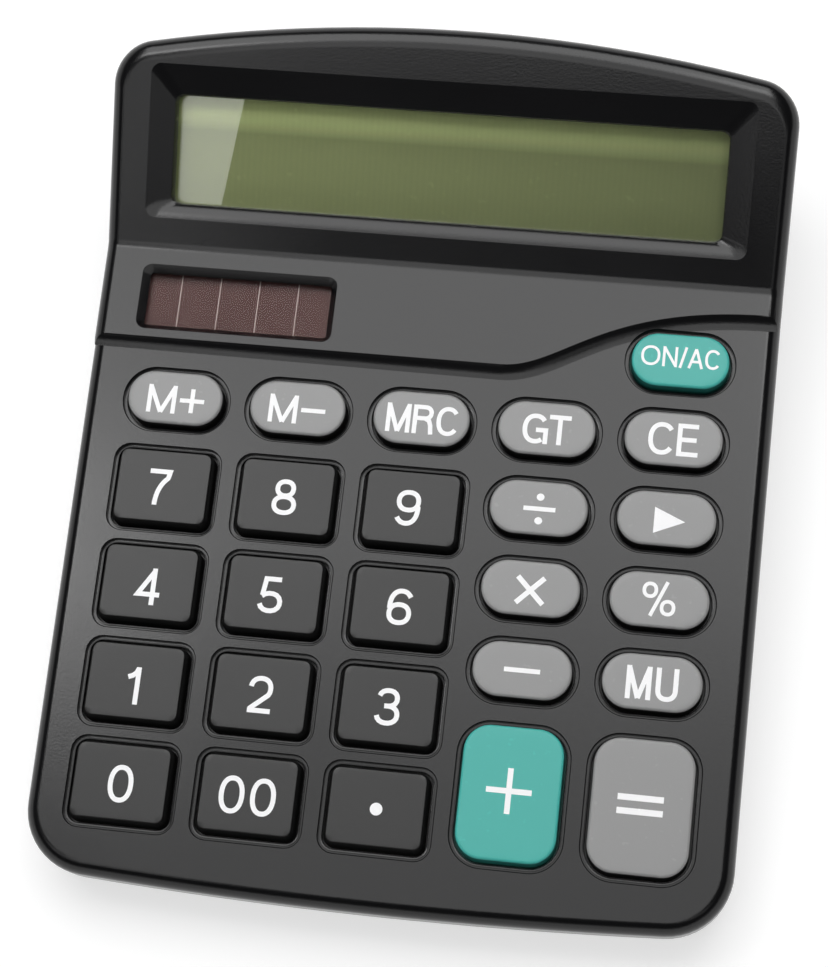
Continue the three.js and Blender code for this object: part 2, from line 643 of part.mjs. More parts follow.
function topCover() {
  const deckBody = toSolid(wedgeBody(0, 0, BROW_RISE, SKIRT_Z, EDGE_RADIUS, EDGE_STEPS));
  const raisedBody = toSolid(wedgeBody(0, BROW_RISE, 0, SKIRT_Z, EDGE_RADIUS, EDGE_STEPS));
  const browBody = raisedBody.intersect(toSolid(browPrism()));
  const cuts = [
    shellHollow(),
    displayRecess(),
    solarRecess(),
    displayPocket(pocketWidth, pocketHeight, panelBackZ - OVERRUN, lensZ),
    toSolid(centredSlab(cellWidth, cellHeight, solarBackZ - OVERRUN, solarCoverZ), moved(solarX, solarY)),
    ...keyOpenings(),
  ];
  for (const { x, y } of caseScrews) {
    const pilot = rod(SCREW_RADIUS + SEAT_GAP, SKIRT_Z - OVERRUN, SKIRT_Z + SCREW_GRIP, SMALL_ROUND_SIDES);
    cuts.push(toSolid(pilot, moved(x, y)));
  }
  for (const { x, y } of boardScrews) {
    const high = BOARD_TOP_Z + BOARD_SCREW_GRIP;
    const pilot = rod(BOARD_SCREW_RADIUS + SEAT_GAP, BOARD_TOP_Z, high, SMALL_ROUND_SIDES);
    cuts.push(toSolid(pilot, moved(x, y)));
  }
  return toGeometry(deckBody.add(browBody).subtract(wasm.Manifold.union(cuts)));
}

// Parts under the deck

function keypadSheet() {
  const side = BOARD_WIDTH / 2 - SHEET_INSET;
  const sheet = toSolid(block(-side, side, BOARD_FRONT_Y, SHEET_REAR_Y, SHEET_BOTTOM_Z, SHEET_TOP_Z));
  const domeHeight = DOME_TOP_Z - SHEET_TOP_Z;
  const domes = keys.map(({ x, y }) => {
    const dome = new THREE.CylinderGeometry(DOME_TOP_RADIUS, DOME_BASE_RADIUS, domeHeight, DOME_SIDES);
    dome.rotateX(QUARTER).translate(0, 0, SHEET_TOP_Z + domeHeight / 2);
    return toSolid(dome, moved(x, y));
  });
  const holes = boardScrews.map(({ x, y }) => toSolid(
    rod(BOARD_BOSS_RADIUS + SEAT_GAP, SHEET_BOTTOM_Z - OVERRUN, SHEET_TOP_Z + OVERRUN, SMALL_ROUND_SIDES),
    moved(x, y),
  ));
  return toGeometry(sheet.subtract(wasm.Manifold.union(holes)).add(wasm.Manifold.union(domes)));
}

function circuitBoard() {
  const side = BOARD_WIDTH / 2;
  const board = toSolid(block(-side, side, BOARD_FRONT_Y, BOARD_REAR_Y, BOARD_BOTTOM_Z, BOARD_TOP_Z));
  const holes = boardScrews.map(({ x, y }) => toSolid(
    rod(BOARD_SCREW_RADIUS + SEAT_GAP, BOARD_BOTTOM_Z - OVERRUN, BOARD_TOP_Z + OVERRUN, SMALL_ROUND_SIDES),
    moved(x, y),
  ));
  return toGeometry(board.subtract(wasm.Manifold.union(holes)));
}

// A bead of epoxy over the bare chip, hanging under the board
function chipBead() {
  const profile = [new THREE.Vector2(0, -CHIP_HEIGHT)];
  for (let step = 1; step <= EDGE_STEPS; step += 1) {
    const angle = (QUARTER * step) / EDGE_STEPS;
    profile.push(new THREE.Vector2(CHIP_RADIUS * Math.sin(angle), -CHIP_HEIGHT * Math.cos(angle)));
  }
  profile.push(new THREE.Vector2(0, 0));
  return new THREE.LatheGeometry(profile, SMALL_ROUND_SIDES).rotateX(QUARTER);
}

// The flat ribbon runs along the board, bends up and lies on the back of the display panel
function displayRibbon() {
  const onFace = (along, out) => new THREE.Vector3(0, along, out).applyMatrix4(faceMatrix);
  const boardZ = BOARD_TOP_Z + SEAT_GAP + RIBBON_THICKNESS / 2;
  const panelOut = panelBackZ - SEAT_GAP - RIBBON_THICKNESS / 2;
  const start = WINDOW_OFFSET - PANEL_MARGIN - SEAT_GAP - POCKET_WALL;
  const middle = [
    new THREE.Vector3(0, BOARD_REAR_Y - RIBBON_OVERLAP, boardZ),
    new THREE.Vector3(0, BOARD_REAR_Y, boardZ),
    onFace(start, panelOut),
    onFace(start + POCKET_WALL + RIBBON_REACH, panelOut),
  ];
  const side = (sign) => middle.map((point, i) => {
    const ahead = middle[Math.min(i + 1, middle.length - 1)];
    const behind = middle[Math.max(i - 1, 0)];
    const along = ahead.clone().sub(behind).normalize();
    const offset = (sign * RIBBON_THICKNESS) / 2;
    return new THREE.Vector2(point.y - along.z * offset, point.z + along.y * offset);
  });
  const shape = new THREE.Shape([...side(-1), ...side(1).reverse()]);
  const ribbon = new THREE.ExtrudeGeometry(shape, { depth: RIBBON_WIDTH, bevelEnabled: false });
  ribbon.translate(0, 0, -RIBBON_WIDTH / 2);
  const basis = new THREE.Matrix4().makeBasis(
    new THREE.Vector3(0, 1, 0), new THREE.Vector3(0, 0, 1), new THREE.Vector3(1, 0, 0),
  );
  return toGeometry(toSolid(ribbon, basis));
}

// A screw driven from below: a pan head under a straight shank with a pointed tip
function screw(headZ, headRadius, headHeight, shankRadius, tipZ) {
  const profile = [
    new THREE.Vector2(0, headZ - headHeight),
    new THREE.Vector2(headRadius - headHeight / 4, headZ - headHeight),
    new THREE.Vector2(headRadius, headZ),
    new THREE.Vector2(shankRadius, headZ),
    new THREE.Vector2(shankRadius, tipZ - shankRadius),
    new THREE.Vector2(0, tipZ),
  ];
  return new THREE.LatheGeometry(profile, SMALL_ROUND_SIDES).rotateX(QUARTER);
}

// Bottom cover: a tapered tray whose rim follows the tilted skirt of the top cover

const lipInset = WALL + SEAT_GAP;
const hollowInset = lipInset + LIP_THICKNESS;
const rimZ = SKIRT_Z - SEAT_GAP;
const floorTopZ = FOOT_DROP + FLOOR_THICKNESS;
const cellZ = floorTopZ + SEAT_GAP + CELL_RADIUS;
const bayHalfDepth = CELL_RADIUS + BAY_CLEARANCE;
const bayRearY = CASE_LENGTH - BAY_REAR_MARGIN;
const bayCentreY = bayRearY - bayHalfDepth;
const bayFrontY = bayCentreY - bayHalfDepth;
const bayTopZ = cellZ + CELL_RADIUS + SEAT_GAP;
const contactSpace = 2 * SEAT_GAP + CONTACT_THICKNESS;
const bayLength = CELL_LENGTH + CELL_NUB_LENGTH + SPRING_LENGTH + 2 * contactSpace;
const cellLeftX = -bayLength / 2 + contactSpace + SPRING_LENGTH;
const trayOutline = caseOutline(HEAD_Y);

function tiltedRing(inset, z) {
  return atHeight(insetLoop(trayOutline, inset), z).map((point) => point.applyMatrix4(deckMatrix));
}

function levelRing(inset, z) {
  const level = Math.cos(DECK_TILT);
  return insetLoop(trayOutline, inset).map((point) => new THREE.Vector3(point.x, point.y * level, z));
}

function trayBody() {
  const rings = [];
  for (let step = 0; step <= BASE_STEPS; step += 1) {
    const angle = (QUARTER * step) / BASE_STEPS;
    const inset = BASE_TAPER + BASE_FILLET * (1 - Math.sin(angle));
    rings.push(levelRing(inset, FOOT_DROP + BASE_FILLET * (1 - Math.cos(angle))));
  }
  rings.push(tiltedRing(0, rimZ));
  return toSolid(loft(rings));
}

function doorSpace(grow) {
  const halfWidth = bayLength / 2 - SEAT_GAP + grow;
  const frontY = bayFrontY + SEAT_GAP - grow;
  const high = floorTopZ + grow;
  const plate = block(-halfWidth, halfWidth, frontY, CASE_LENGTH + OVERRUN, -OVERRUN, high);
  const tongueHalfWidth = halfWidth + DOOR_TONGUE_WIDTH;
  const tongueRearY = grow > 0 ? CASE_LENGTH + OVERRUN : bayRearY;
  const tongueZ = floorTopZ - DOOR_TONGUE_THICKNESS - grow;
  const tongue = block(-tongueHalfWidth, tongueHalfWidth, frontY, tongueRearY, tongueZ, high);
  return toSolid(plate).add(toSolid(tongue));
}

function bottomCover(tray) {
  const lip = toSolid(loft([
    tiltedRing(lipInset, rimZ - LIP_ROOT),
    tiltedRing(lipInset, SKIRT_Z + LIP_HEIGHT),
  ]));
  const kept = [toSolid(block(
    -bayLength / 2 - BAY_WALL, bayLength / 2 + BAY_WALL, bayFrontY - BAY_WALL, bayRearY + BAY_WALL,
    0, bayTopZ + BAY_WALL,
  ))];
  const cuts = [
    toSolid(block(-bayLength / 2, bayLength / 2, bayFrontY, bayRearY, 0, bayTopZ)),
    doorSpace(SEAT_GAP),
  ];
  for (const { x, y } of caseScrews) {
    const place = deckMatrix.clone().multiply(moved(x, y));
    kept.push(toSolid(rod(POST_RADIUS, -CASE_LENGTH, rimZ, ROUND_SIDES), place));
    const seatZ = rimZ - SCREW_SEAT;
    cuts.push(toSolid(rod(SCREW_RADIUS + SEAT_GAP, -CASE_LENGTH, 0, SMALL_ROUND_SIDES), place));
    cuts.push(toSolid(rod(SCREW_HEAD_RADIUS + SEAT_GAP, -CASE_LENGTH, seatZ, SMALL_ROUND_SIDES), place));
  }
  for (const { x, y } of feet) {
    const recess = rod(FOOT_RADIUS + SEAT_GAP, 0, FOOT_DROP + FOOT_RECESS, ROUND_SIDES);
    cuts.push(toSolid(recess, moved(x, y)));
  }
  const hollow = toSolid(loft([
    levelRing(BASE_TAPER + hollowInset, floorTopZ),
    tiltedRing(hollowInset, rimZ - LIP_ROOT),
    tiltedRing(hollowInset, SKIRT_Z + LIP_HEIGHT + OVERRUN),
  ])).subtract(wasm.Manifold.union(kept));
  return toGeometry(tray.add(lip).subtract(hollow).subtract(wasm.Manifold.union(cuts)));
}

// The door is the piece of floor and rear edge that the tray leaves open, with a tongue along each side
function batteryDoor(tray) {
  let door = doorSpace(0).intersect(tray);
  for (let index = 0; index < DOOR_GROOVE_COUNT; index += 1) {
    const y = bayFrontY + DOOR_GROOVE_FROM_FRONT + index * DOOR_GROOVE_PITCH;
    const groove = block(
      -DOOR_GROOVE_SPAN / 2, DOOR_GROOVE_SPAN / 2, y, y + DOOR_GROOVE_WIDTH, 0, FOOT_DROP + DOOR_GROOVE_DEPTH,
    );
    door = door.subtract(toSolid(groove));
  }
  return toGeometry(door);
}

function rubberFoot() {
  const top = FOOT_DROP + FOOT_RECESS - SEAT_GAP;
  const bevel = FOOT_DROP / 2;
  return new THREE.LatheGeometry([
    new THREE.Vector2(0, 0),
    new THREE.Vector2(FOOT_RADIUS - bevel, 0),
    new THREE.Vector2(FOOT_RADIUS, bevel),
    new THREE.Vector2(FOOT_RADIUS, top),
    new THREE.Vector2(0, top),
  ], ROUND_SIDES).rotateX(QUARTER);
}

// Battery, lying along X with its nub to the right, and the contacts at its ends

function battery() {
  const rim = CELL_NUB_LENGTH / 2;
  const profile = [
    new THREE.Vector2(0, 0),
    new THREE.Vector2(CELL_RADIUS - rim, 0),
    new THREE.Vector2(CELL_RADIUS, rim),
    new THREE.Vector2(CELL_RADIUS, CELL_LENGTH - rim),
    new THREE.Vector2(CELL_RADIUS - rim, CELL_LENGTH),
    new THREE.Vector2(CELL_NUB_RADIUS, CELL_LENGTH),
    new THREE.Vector2(CELL_NUB_RADIUS, CELL_LENGTH + CELL_NUB_LENGTH),
    new THREE.Vector2(0, CELL_LENGTH + CELL_NUB_LENGTH),
  ];
  return new THREE.LatheGeometry(profile, ROUND_SIDES).rotateZ(-QUARTER);
}

function contactPlate() {
  const side = CONTACT_SIZE / 2;
  return block(0, CONTACT_THICKNESS, -side, side, -side, side);
}

// A conical spring standing on its plate, wound along X
function contactSpring() {
  const points = [];
  const steps = SPRING_TURNS * SPRING_STEPS_PER_TURN;
  const start = CONTACT_THICKNESS - SPRING_WIRE_RADIUS / 2;
  const length = SPRING_LENGTH + SPRING_WIRE_RADIUS / 2 - SPRING_WIRE_RADIUS;
  for (let step = 0; step <= steps; step += 1) {
    const share = step / steps;
    const radius = THREE.MathUtils.lerp(SPRING_RADIUS, SPRING_TIP_RADIUS, share);
    const angle = 2 * Math.PI * SPRING_TURNS * share;
    const along = start + length * share;
    points.push(new THREE.Vector3(along, radius * Math.cos(angle), radius * Math.sin(angle)));
  }
  const section = new THREE.Shape(polygonLoop(SPRING_WIRE_RADIUS, WIRE_SIDES));
  const wire = new THREE.ExtrudeGeometry(section, {
    steps, bevelEnabled: false, extrudePath: new THREE.CatmullRomCurve3(points),
  });
  return toGeometry(toSolid(wire).add(toSolid(contactPlate())));
}

// Assembly

function mesh(name, geometry, material, x = 0, y = 0, z = 0) {
  const made = new THREE.Mesh(geometry, material);
  made.name = name;
  made.position.set(x, y, z);
  return made;
}

function displayParts() {
  const group = new THREE.Group();
  group.position.set(0, HEAD_Y, BROW_RISE);
  group.rotation.x = HEAD_TILT;
  const width = WINDOW_WIDTH + 2 * PANEL_MARGIN;
  const height = WINDOW_HEIGHT + 2 * PANEL_MARGIN;
  const lens = centredSlab(width, height, lensZ - SEAT_GAP - LENS_THICKNESS, lensZ - SEAT_GAP);
  group.add(mesh('display_window', lens, clearLens, 0, windowY));
  group.add(mesh('lcd_panel', centredSlab(width, height, panelBackZ, panelZ), displayGreen, 0, windowY));
  return group;
}

function deckParts() {
  const group = new THREE.Group();
  group.position.z = DECK_FRONT_HEIGHT;
  group.rotation.x = DECK_TILT;
  group.add(mesh('top_cover', topCover(), blackCase));
  const caps = new Map();
  for (const { name, kind, x, y, material } of keys) {
    if (!caps.has(kind)) {
      caps.set(kind, keyCap(kind));
    }
    group.add(mesh(name, caps.get(kind), material, x, y));
  }
  const width = cellWidth - 2 * SEAT_GAP;
  const height = cellHeight - 2 * SEAT_GAP;
  const coverTop = solarCoverZ - SEAT_GAP;
  const cover = centredSlab(width, height, coverTop - SOLAR_COVER_THICKNESS, coverTop);
  group.add(mesh('solar_window', cover, clearLens, solarX, solarY));
  const cell = centredSlab(width, height, solarBackZ, solarCellZ);
  group.add(mesh('solar_cell', cell, cellBrown, solarX, solarY));
  group.add(mesh('keypad_membrane', keypadSheet(), rubberGrey));
  group.add(mesh('circuit_board', circuitBoard(), boardGreen));
  group.add(mesh('controller_chip', chipBead(), epoxyBlack, CHIP_X, CHIP_Y, BOARD_BOTTOM_Z - SEAT_GAP));
  const capacitor = rod(CAPACITOR_RADIUS, -CAPACITOR_LENGTH / 2, CAPACITOR_LENGTH / 2).rotateX(QUARTER);
  const capacitorZ = BOARD_BOTTOM_Z - SEAT_GAP - CAPACITOR_RADIUS;
  group.add(mesh('capacitor', capacitor, steel, CAPACITOR_X, CHIP_Y, capacitorZ));
  group.add(mesh('display_ribbon', displayRibbon(), ribbonAmber));
  const caseHeadZ = rimZ - SCREW_SEAT - SEAT_GAP;
  const caseTipZ = SKIRT_Z + SCREW_GRIP - SEAT_GAP;
  const caseScrew = screw(caseHeadZ, SCREW_HEAD_RADIUS, SCREW_HEAD_HEIGHT, SCREW_RADIUS, caseTipZ);
  caseScrews.forEach(({ x, y }, i) => group.add(mesh(`case_screw_${i + 1}`, caseScrew, steel, x, y)));
  const boardHeadZ = BOARD_BOTTOM_Z - SEAT_GAP;
  const boardTipZ = BOARD_TOP_Z + BOARD_SCREW_GRIP - SEAT_GAP;
  const boardScrew = screw(
    boardHeadZ, BOARD_SCREW_HEAD_RADIUS, BOARD_SCREW_HEAD_HEIGHT, BOARD_SCREW_RADIUS, boardTipZ,
  );
  boardScrews.forEach(({ x, y }, i) => group.add(mesh(`board_screw_${i + 1}`, boardScrew, steel, x, y)));
  group.add(displayParts());
  return group;
}

function baseParts() {
  const group = new THREE.Group();
  const tray = trayBody();
  group.add(mesh('bottom_cover', bottomCover(tray), blackCase));
  group.add(mesh('battery_door', batteryDoor(tray), blackCase));
  for (const { name, x, y } of feet) {
    group.add(mesh(name, rubberFoot(), rubberBlack, x, y));
  }
  group.add(mesh('battery', battery(), cellWrap, cellLeftX, bayCentreY, cellZ));
  const springX = -bayLength / 2 + SEAT_GAP;
  group.add(mesh('contact_spring', contactSpring(), steel, springX, bayCentreY, cellZ));
  const plateX = bayLength / 2 - SEAT_GAP - CONTACT_THICKNESS;
  group.add(mesh('contact_plate', contactPlate(), steel, plateX, bayCentreY, cellZ));
  return group;
}

// The origin is under the middle of the case, on the desk
const calculator = new THREE.Group();
const parts = new THREE.Group();
parts.add(deckParts(), baseParts());
calculator.add(parts);
calculator.updateMatrixWorld(true);
const bounds = new THREE.Box3().setFromObject(parts, true);
const centre = bounds.getCenter(new THREE.Vector3());
parts.position.set(-centre.x, -centre.y, -bounds.min.z);

export default calculator;
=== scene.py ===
"""A black desk calculator with a sloping display head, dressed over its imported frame."""
from math import asin, atan2, cos, hypot, pi, radians, sin, tan

import bmesh
import bpy
from mathutils import Matrix, Vector


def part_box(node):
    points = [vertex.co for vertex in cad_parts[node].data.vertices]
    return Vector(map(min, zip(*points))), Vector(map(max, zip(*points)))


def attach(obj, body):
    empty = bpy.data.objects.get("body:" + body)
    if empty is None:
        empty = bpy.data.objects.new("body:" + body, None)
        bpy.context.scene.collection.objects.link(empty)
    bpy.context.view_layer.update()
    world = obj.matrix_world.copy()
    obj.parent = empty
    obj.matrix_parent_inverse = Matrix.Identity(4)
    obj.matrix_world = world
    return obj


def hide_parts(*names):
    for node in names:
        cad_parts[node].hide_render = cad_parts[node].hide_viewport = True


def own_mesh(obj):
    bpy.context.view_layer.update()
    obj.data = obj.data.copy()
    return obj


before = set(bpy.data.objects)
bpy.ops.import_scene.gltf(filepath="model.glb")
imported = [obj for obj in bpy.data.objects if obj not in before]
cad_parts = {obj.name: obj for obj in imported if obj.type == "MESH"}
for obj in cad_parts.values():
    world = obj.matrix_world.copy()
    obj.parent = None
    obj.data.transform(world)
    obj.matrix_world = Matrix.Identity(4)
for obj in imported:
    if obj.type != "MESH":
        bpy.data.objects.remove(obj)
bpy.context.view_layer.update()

# Sizes in millimetres, in the frame of the keyboard deck: X to the right, Y towards the display,
# Z out of the deck

MM = 0.001
DECK_TILT = radians(4.5)
HEAD_TILT = radians(24.1)
DECK_FRONT_HEIGHT = 13.5

# Keys: their sizes and rows, up to the foot of the head
CAP_WIDTH = 16.4
NUMBER_CAP_HEIGHT = 13.1
OVAL_CAP_HEIGHT = 9.3
COLUMN_PITCH = 21.0
NUMBER_ROW_PITCH = 16.6
OVAL_ROW_PITCH = 13.6
FRONT_MARGIN = 9.85
MEMORY_ROW_Y = 81.8
TALL_CAP_HEIGHT = 21.8
NUMBER_FRONT_ROW_Y = FRONT_MARGIN + NUMBER_CAP_HEIGHT / 2
TALL_ROW_Y = FRONT_MARGIN + TALL_CAP_HEIGHT / 2
HEAD_Y = 109.7

# Case outline and wall
FRONT_WIDTH = 115.2
REAR_WIDTH = 116.6
CASE_LENGTH = 146.58
FRONT_BOW_RADIUS = 800.0
REAR_ARCH_RADIUS = 300.0
FRONT_CORNER_RADIUS = 11.0
REAR_CORNER_RADIUS = 7.5
EDGE_RADIUS = 2.4
REAR_EDGE_REACH = 5.1
WALL = 2.0
SKIRT_DEPTH = 6.0

# Curved step in front of the head: its rise, and how far it stands off the head at each side
BROW_RISE = 1.0
BROW_DEPTH_LEFT = 17.2
BROW_DEPTH_RIGHT = 5.1
BROW_CURVE_X = (12.2, 22.2, 28.0, 56.0)

# Recesses of the display and the solar cell
RECESS_MARGIN = 4.1
RECESS_SIZE = (102.8, 26.2)
RECESS_CORNER = 1.8
# The recess's front wall: how far in and how far down it has come, as shares of the whole
RECESS_PROFILE = (
    (0.35, 0.093), (0.6, 0.223), (0.75, 0.326), (0.92, 0.457), (0.96, 0.53), (1.0, 0.7), (1.0, 1.0),
)
RECESS_DEPTH = 2.4
SHELF_FALL = 0.554
WINDOW_SIZE = (94.1, 18.4)
WINDOW_FRONT_MARGIN = 2.55
SOLAR_SIZE = (33.7, 11.5)
SOLAR_CORNER = 1.6
SOLAR_DRAFT = 1.05
SOLAR_DEPTH = 1.5
SOLAR_X = -33.9
SOLAR_Y = 100.2
SOLAR_RIM_Y = 99.75
SOLAR_FRAME_WIDTH = 1.9
SOLAR_SEAT_WIDTH = 0.35
SOLAR_SEAT_DROP = 0.4
SOLAR_SEAT_CORNER = 0.3
SOLAR_SEAT_DEPTH = 5.0

# Key openings, caps and the keypad under them
KEY_GAP = 0.3
LEDGE_WIDTH = 0.65
LEDGE_DEPTH = 0.36
LEDGE_FALL = 0.055
LEDGE_EASE = 0.14
GROOVE_WIDTH = 0.36
GROOVE_DEPTH = 0.75
CAP_RISE = 1.5
FLANGE_TOP = -2.3
FLANGE_THICKNESS = 0.9
FLANGE_WIDTH = 0.7
PLUNGER_LENGTH = 0.8
PLUNGER_RADIUS = 2.0
PLUNGER_INSET = 3.0
SHEET_TOP = -5.7
SHEET_BOTTOM = -6.5
SHEET_SIDE = 50.0
SHEET_FRONT_Y = 11.0
SHEET_REAR_Y = 100.5
SHEET_CORNER = 2.0
BOSS_HOLE_RADIUS = 1.55
DOME_TOP = -4.3
DOME_TOP_RADIUS = 2.3
DOME_BASE_RADIUS = 3.6
DOME_EDGE = 0.4
DOME_ROOT = 0.2
TOP_BORDER = 0.8

# Modelling: how far a cutter overruns, what merges, what counts as the same place, and how much
# of a face's direction is upright where it counts as facing up or down, or as flat
CUT_OVERRUN = 3.0
MERGE_DISTANCE = 0.003
NEAR = 0.01
FACING = 0.9
FLAT = 0.99
ROUND_SIDES = 48

# How the top cover is rounded, and the pockets behind its windows
BROW_ROLL = 2.8
BROW_ROLL_STEPS = 8
BROW_END_EASE = 5.0
BROW_FOOT = 2.0
BROW_STEPS = 32
RIM_EASE = 0.08
BROW_EASE = 0.12
HOLE_EASE = 0.08
EDGE_STEPS = 3
EDGE_SEGMENTS = 8
CREASE_START = 0.8
CREASE_ANGLES = (6, 12, 18)
FACE_LIFT = 0.37
PANEL_MARGIN = 2.0
PANEL_GAP = 0.3
POCKET_WALL = 1.6
POCKET_CORNER = 0.5
LENS_TOP = -3.0
PANEL_BACK = -6.8
SOLAR_BACK = -2.8

# How square the ovals of the legends are, and how deep and thick the legends are
OVAL_POWER = 2.25
LEGEND_DEPTH = 0.03
LEGEND_THICKNESS = 0.05
STROKE_STEP = 0.0015

# Each legend's height, stretch, stroke and gap between letters, and how far to the right and up it
# stands from the middle of the key
NUMBER_LEGEND = (6.2, 1.0, 0.8, 0.13, 0, 0)
LEGENDS = {
    "Mp": (4.9, 1.22, 0.74, 0.07, 0.2, -0.3),
    "Mm": (4.9, 1.2, 0.74, 0.07, 0, -0.25),
    "MRC": (5.0, 0.95, 0.74, 0.08, 0.25, -0.15),
    "GT": (5.1, 1.04, 0.78, -0.02, 0, -0.1),
    "CE": (5.6, 1.0, 0.78, 0.05, 0, 0),
    "/": (5.6, 1.05, 0.75, 0, 0.15, -0.15),
    ">": (6.9, 1.15, 0, 0, 0.2, -0.3),
    "x": (6.3, 1.0, 0.85, 0, 0, -0.3),
    "%": (5.8, 1.0, 0.6, 0, -0.1, 0.2),
    "-": (4.9, 1.43, 0.77, 0, 0, 0),
    "MU": (5.45, 0.86, 0.8, 0.16, 0, -0.15),
    "ON|AC": (3.5, 0.93, 0.45, 0.1, 0, 0.6),
    "+": (8.75, 1.0, 0.9, 0, -0.15, 0.65),
    "=": (9.17, 0.89, 1.0, 0, -0.2, 0.5),
    "0": (6.2, 1.0, 0.8, 0, 0.1, -0.1),
    "1": (6.2, 1.0, 0.8, 0, 0.1, -0.55),
    "4": (6.2, 1.0, 0.8, 0, 0, -0.45),
    "5": (6.2, 1.0, 0.8, 0, -0.4, 0),
    "7": (6.2, 1.0, 0.8, 0, -0.5, 0),
    "8": (6.2, 1.0, 0.8, 0, -0.2, 0.1),
    "9": (6.2, 1.0, 0.8, 0, -0.45, 0.1),
}

# Bottom cover, in the same frame, and its feet, level on the desk
GAP = 0.3
RIM_Z = -6.3
LIP_INSET = 2.3
LIP_THICKNESS = 1.0
LIP_ROOT = 2.0
LIP_TOP = -4.8
BASE_TAPER = 2.5
BASE_FILLET = 1.5
BASE_STEPS = 5
FLOOR_TOP = 2.8
FOOT_DROP = 1.0
FOOT_RADIUS = 5.0
FOOT_RECESS = 0.6
FOOT_EASE = 0.4
FOOT_RIM = 1.0
FOOT_DISH_EDGE = 0.25
FOOT_DISH_DEPTH = 0.2
FOOT_DISH_BORDER = 1.6
FOOT_PLACES = ((-45.0, 13.0), (45.0, 13.0), (-45.0, 132.98), (45.0, 132.98))

# Battery, its bay and its door
CELL_RADIUS = 7.1
CELL_LENGTH = 48.5
CELL_NUB_RADIUS = 2.7
CELL_NUB_LENGTH = 1.6
CELL_EASE = 0.6
CELL_RIM = 1.2
CELL_STEP = 0.25
CELL_NUB_EASE = 0.3
CELL_END_RIM = 1.4
CELL_END_STEP = 0.2
BAY_LENGTH = 55.7
BAY_REAR_Y = 136.78
BAY_CENTRE_Y = 128.98
BAY_FRONT_Y = 121.18
BAY_TOP = 17.6
BAY_WALL = 1.5
TONGUE = (0.9, 0.7)
FINGER_GROOVES = 4
FINGER_GROOVE_SIZE = (18.0, 1.0)
FINGER_GROOVE_CORNER = 0.45
FINGER_GROOVE_DEPTH = 0.4
FINGER_GROOVE_PITCH = 2.2
FINGER_GROOVE_MARGIN = 5.5
ARROW = ((-2.0, 0, 0), (2.0, 0, 0), (0, 2.4, 0))
ARROW_MARGIN = 14.2
ARROW_DEPTH = 0.3

# Screws and their posts
POST_RADIUS = 3.6
SCREW_RADIUS = 1.2
SCREW_HEAD_RADIUS = 2.1
SCREW_HEAD_HEIGHT = 1.5
SCREW_SEAT = 1.6
SCREW_TIP = -3.3
SCREW_EASE = 0.45
SCREW_POINT = 0.05
SLOT_SIZE = (2.4, 0.5)
SLOT_CORNER = 0.12
SLOT_DEPTH = 0.9
SLOT_TAPER = (0.45, 0.7, 1)
SLOT_OVERRUN = 0.05
BOARD_SCREWS = [f"board_screw_{number}" for number in range(1, 7)]
CASE_SCREWS = ((-31.5, 6.5), (31.5, 6.5), (-51.6, 123.98), (51.6, 123.98))

# Camera, in metres and degrees, then colours and light levels
CAMERA_PLACE = (0.045362, -0.129799, 0.390631)
CAMERA_TURN = (19.4424, 4.6353, 6.8014)
CAMERA_LENS = 88.50
CAMERA_SENSOR = 36.0
LCD_GREEN = (0.155, 0.18, 0.077)
# How the green falls off as painted light and shade: its level at two places, and those places across or
# along the case
LCD_PAINTED_SHADE_ACROSS = (1.18, 0.74, -0.047, 0.047)
LCD_PAINTED_SHADE_ALONG = (0.9, 1.05, 0.042, 0.06)
# Painted light: the green is brightened towards the display's far edge, against the shadow that the recess's
# rear wall casts there
LCD_PAINTED_LIGHT_FAR_EDGE = (1.0, 2.9, 0.055, 0.0583)
SOLAR_BROWN = (0.064, 0.031, 0.029)
METAL_GREY = (0.62, 0.62, 0.6)
SPECK_TINT = (1.12, 1.12, 1.12)
SHEEN_DRIFT = 0.04
GRAIN_SIZE = 2600.0
GRAIN_DEPTH = 0.2
CEILING_LEVEL = 0.04
WALL_TOP = (0.25, 0.5)
FLOOR_GLOW = 0.6
# Each light's place in metres, turns in degrees, size in metres and brightness. A ledge light reaches
# the ledge on the other side of the display's recess.
LIGHTS = {
    "overhead light": ((-0.08, 0.36, 0.82), (-24, 0, 0), (0.9, 0.62), 3.3),
    "left light": ((-0.36, 0.075, 0.85), (-4, -22, 0), (0.22, 0.13), 6.3),
    "front light": ((-0.305, -0.504, 0.9), (0, 0, -13.7), (0.1, 0.22), 1.9),
    "fore light": ((0.0, -0.055, 0.92), (0, 0, 0), (0.6, 0.27), 1.5),
    "head light": ((-0.08, -0.29, 0.92), (0, 0, 0), (0.6, 0.2), 1.8),
    "right light": ((0.2, 0.24, 0.85), (-8, 12, 0), (0.16, 0.22), 2.1),
    "left ledge light": ((-0.5, -0.38, 0.85), (0, -25, 0), (0.1, 0.26), 1.55),
    "right ledge light": ((0.38, -0.46, 0.9), (0, 15, 0), (0.36, 0.2), 0.6),
}

deck_front_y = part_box("top_cover")[0].y / MM - EDGE_RADIUS * sin(DECK_TILT)
DECK = (
    Matrix.Scale(MM, 4)
    @ Matrix.Translation((0, deck_front_y, DECK_FRONT_HEIGHT))
    @ Matrix.Rotation(DECK_TILT, 4, "X")
)
FACE = Matrix.Translation((0, HEAD_Y, BROW_RISE)) @ Matrix.Rotation(HEAD_TILT, 4, "X")
TO_FACE = FACE.inverted()
DECK_ON_DESK = Matrix.Translation((0, 0, DECK_FRONT_HEIGHT)) @ Matrix.Rotation(DECK_TILT, 4, "X")
BASE = Matrix.Scale(MM, 4) @ Matrix.Translation((0, deck_front_y, 0))
LEVEL = Matrix.Diagonal((1, cos(DECK_TILT), 1, 1))


# Modelling helpers

def select_none():
    bpy.ops.object.select_all(action="DESELECT")


def select_only(piece):
    select_none()
    piece.select_set(True)
    bpy.context.view_layer.objects.active = piece


def edit(piece):
    select_only(piece)
    bpy.ops.object.mode_set(mode="EDIT")
    bpy.ops.mesh.select_all(action="DESELECT")


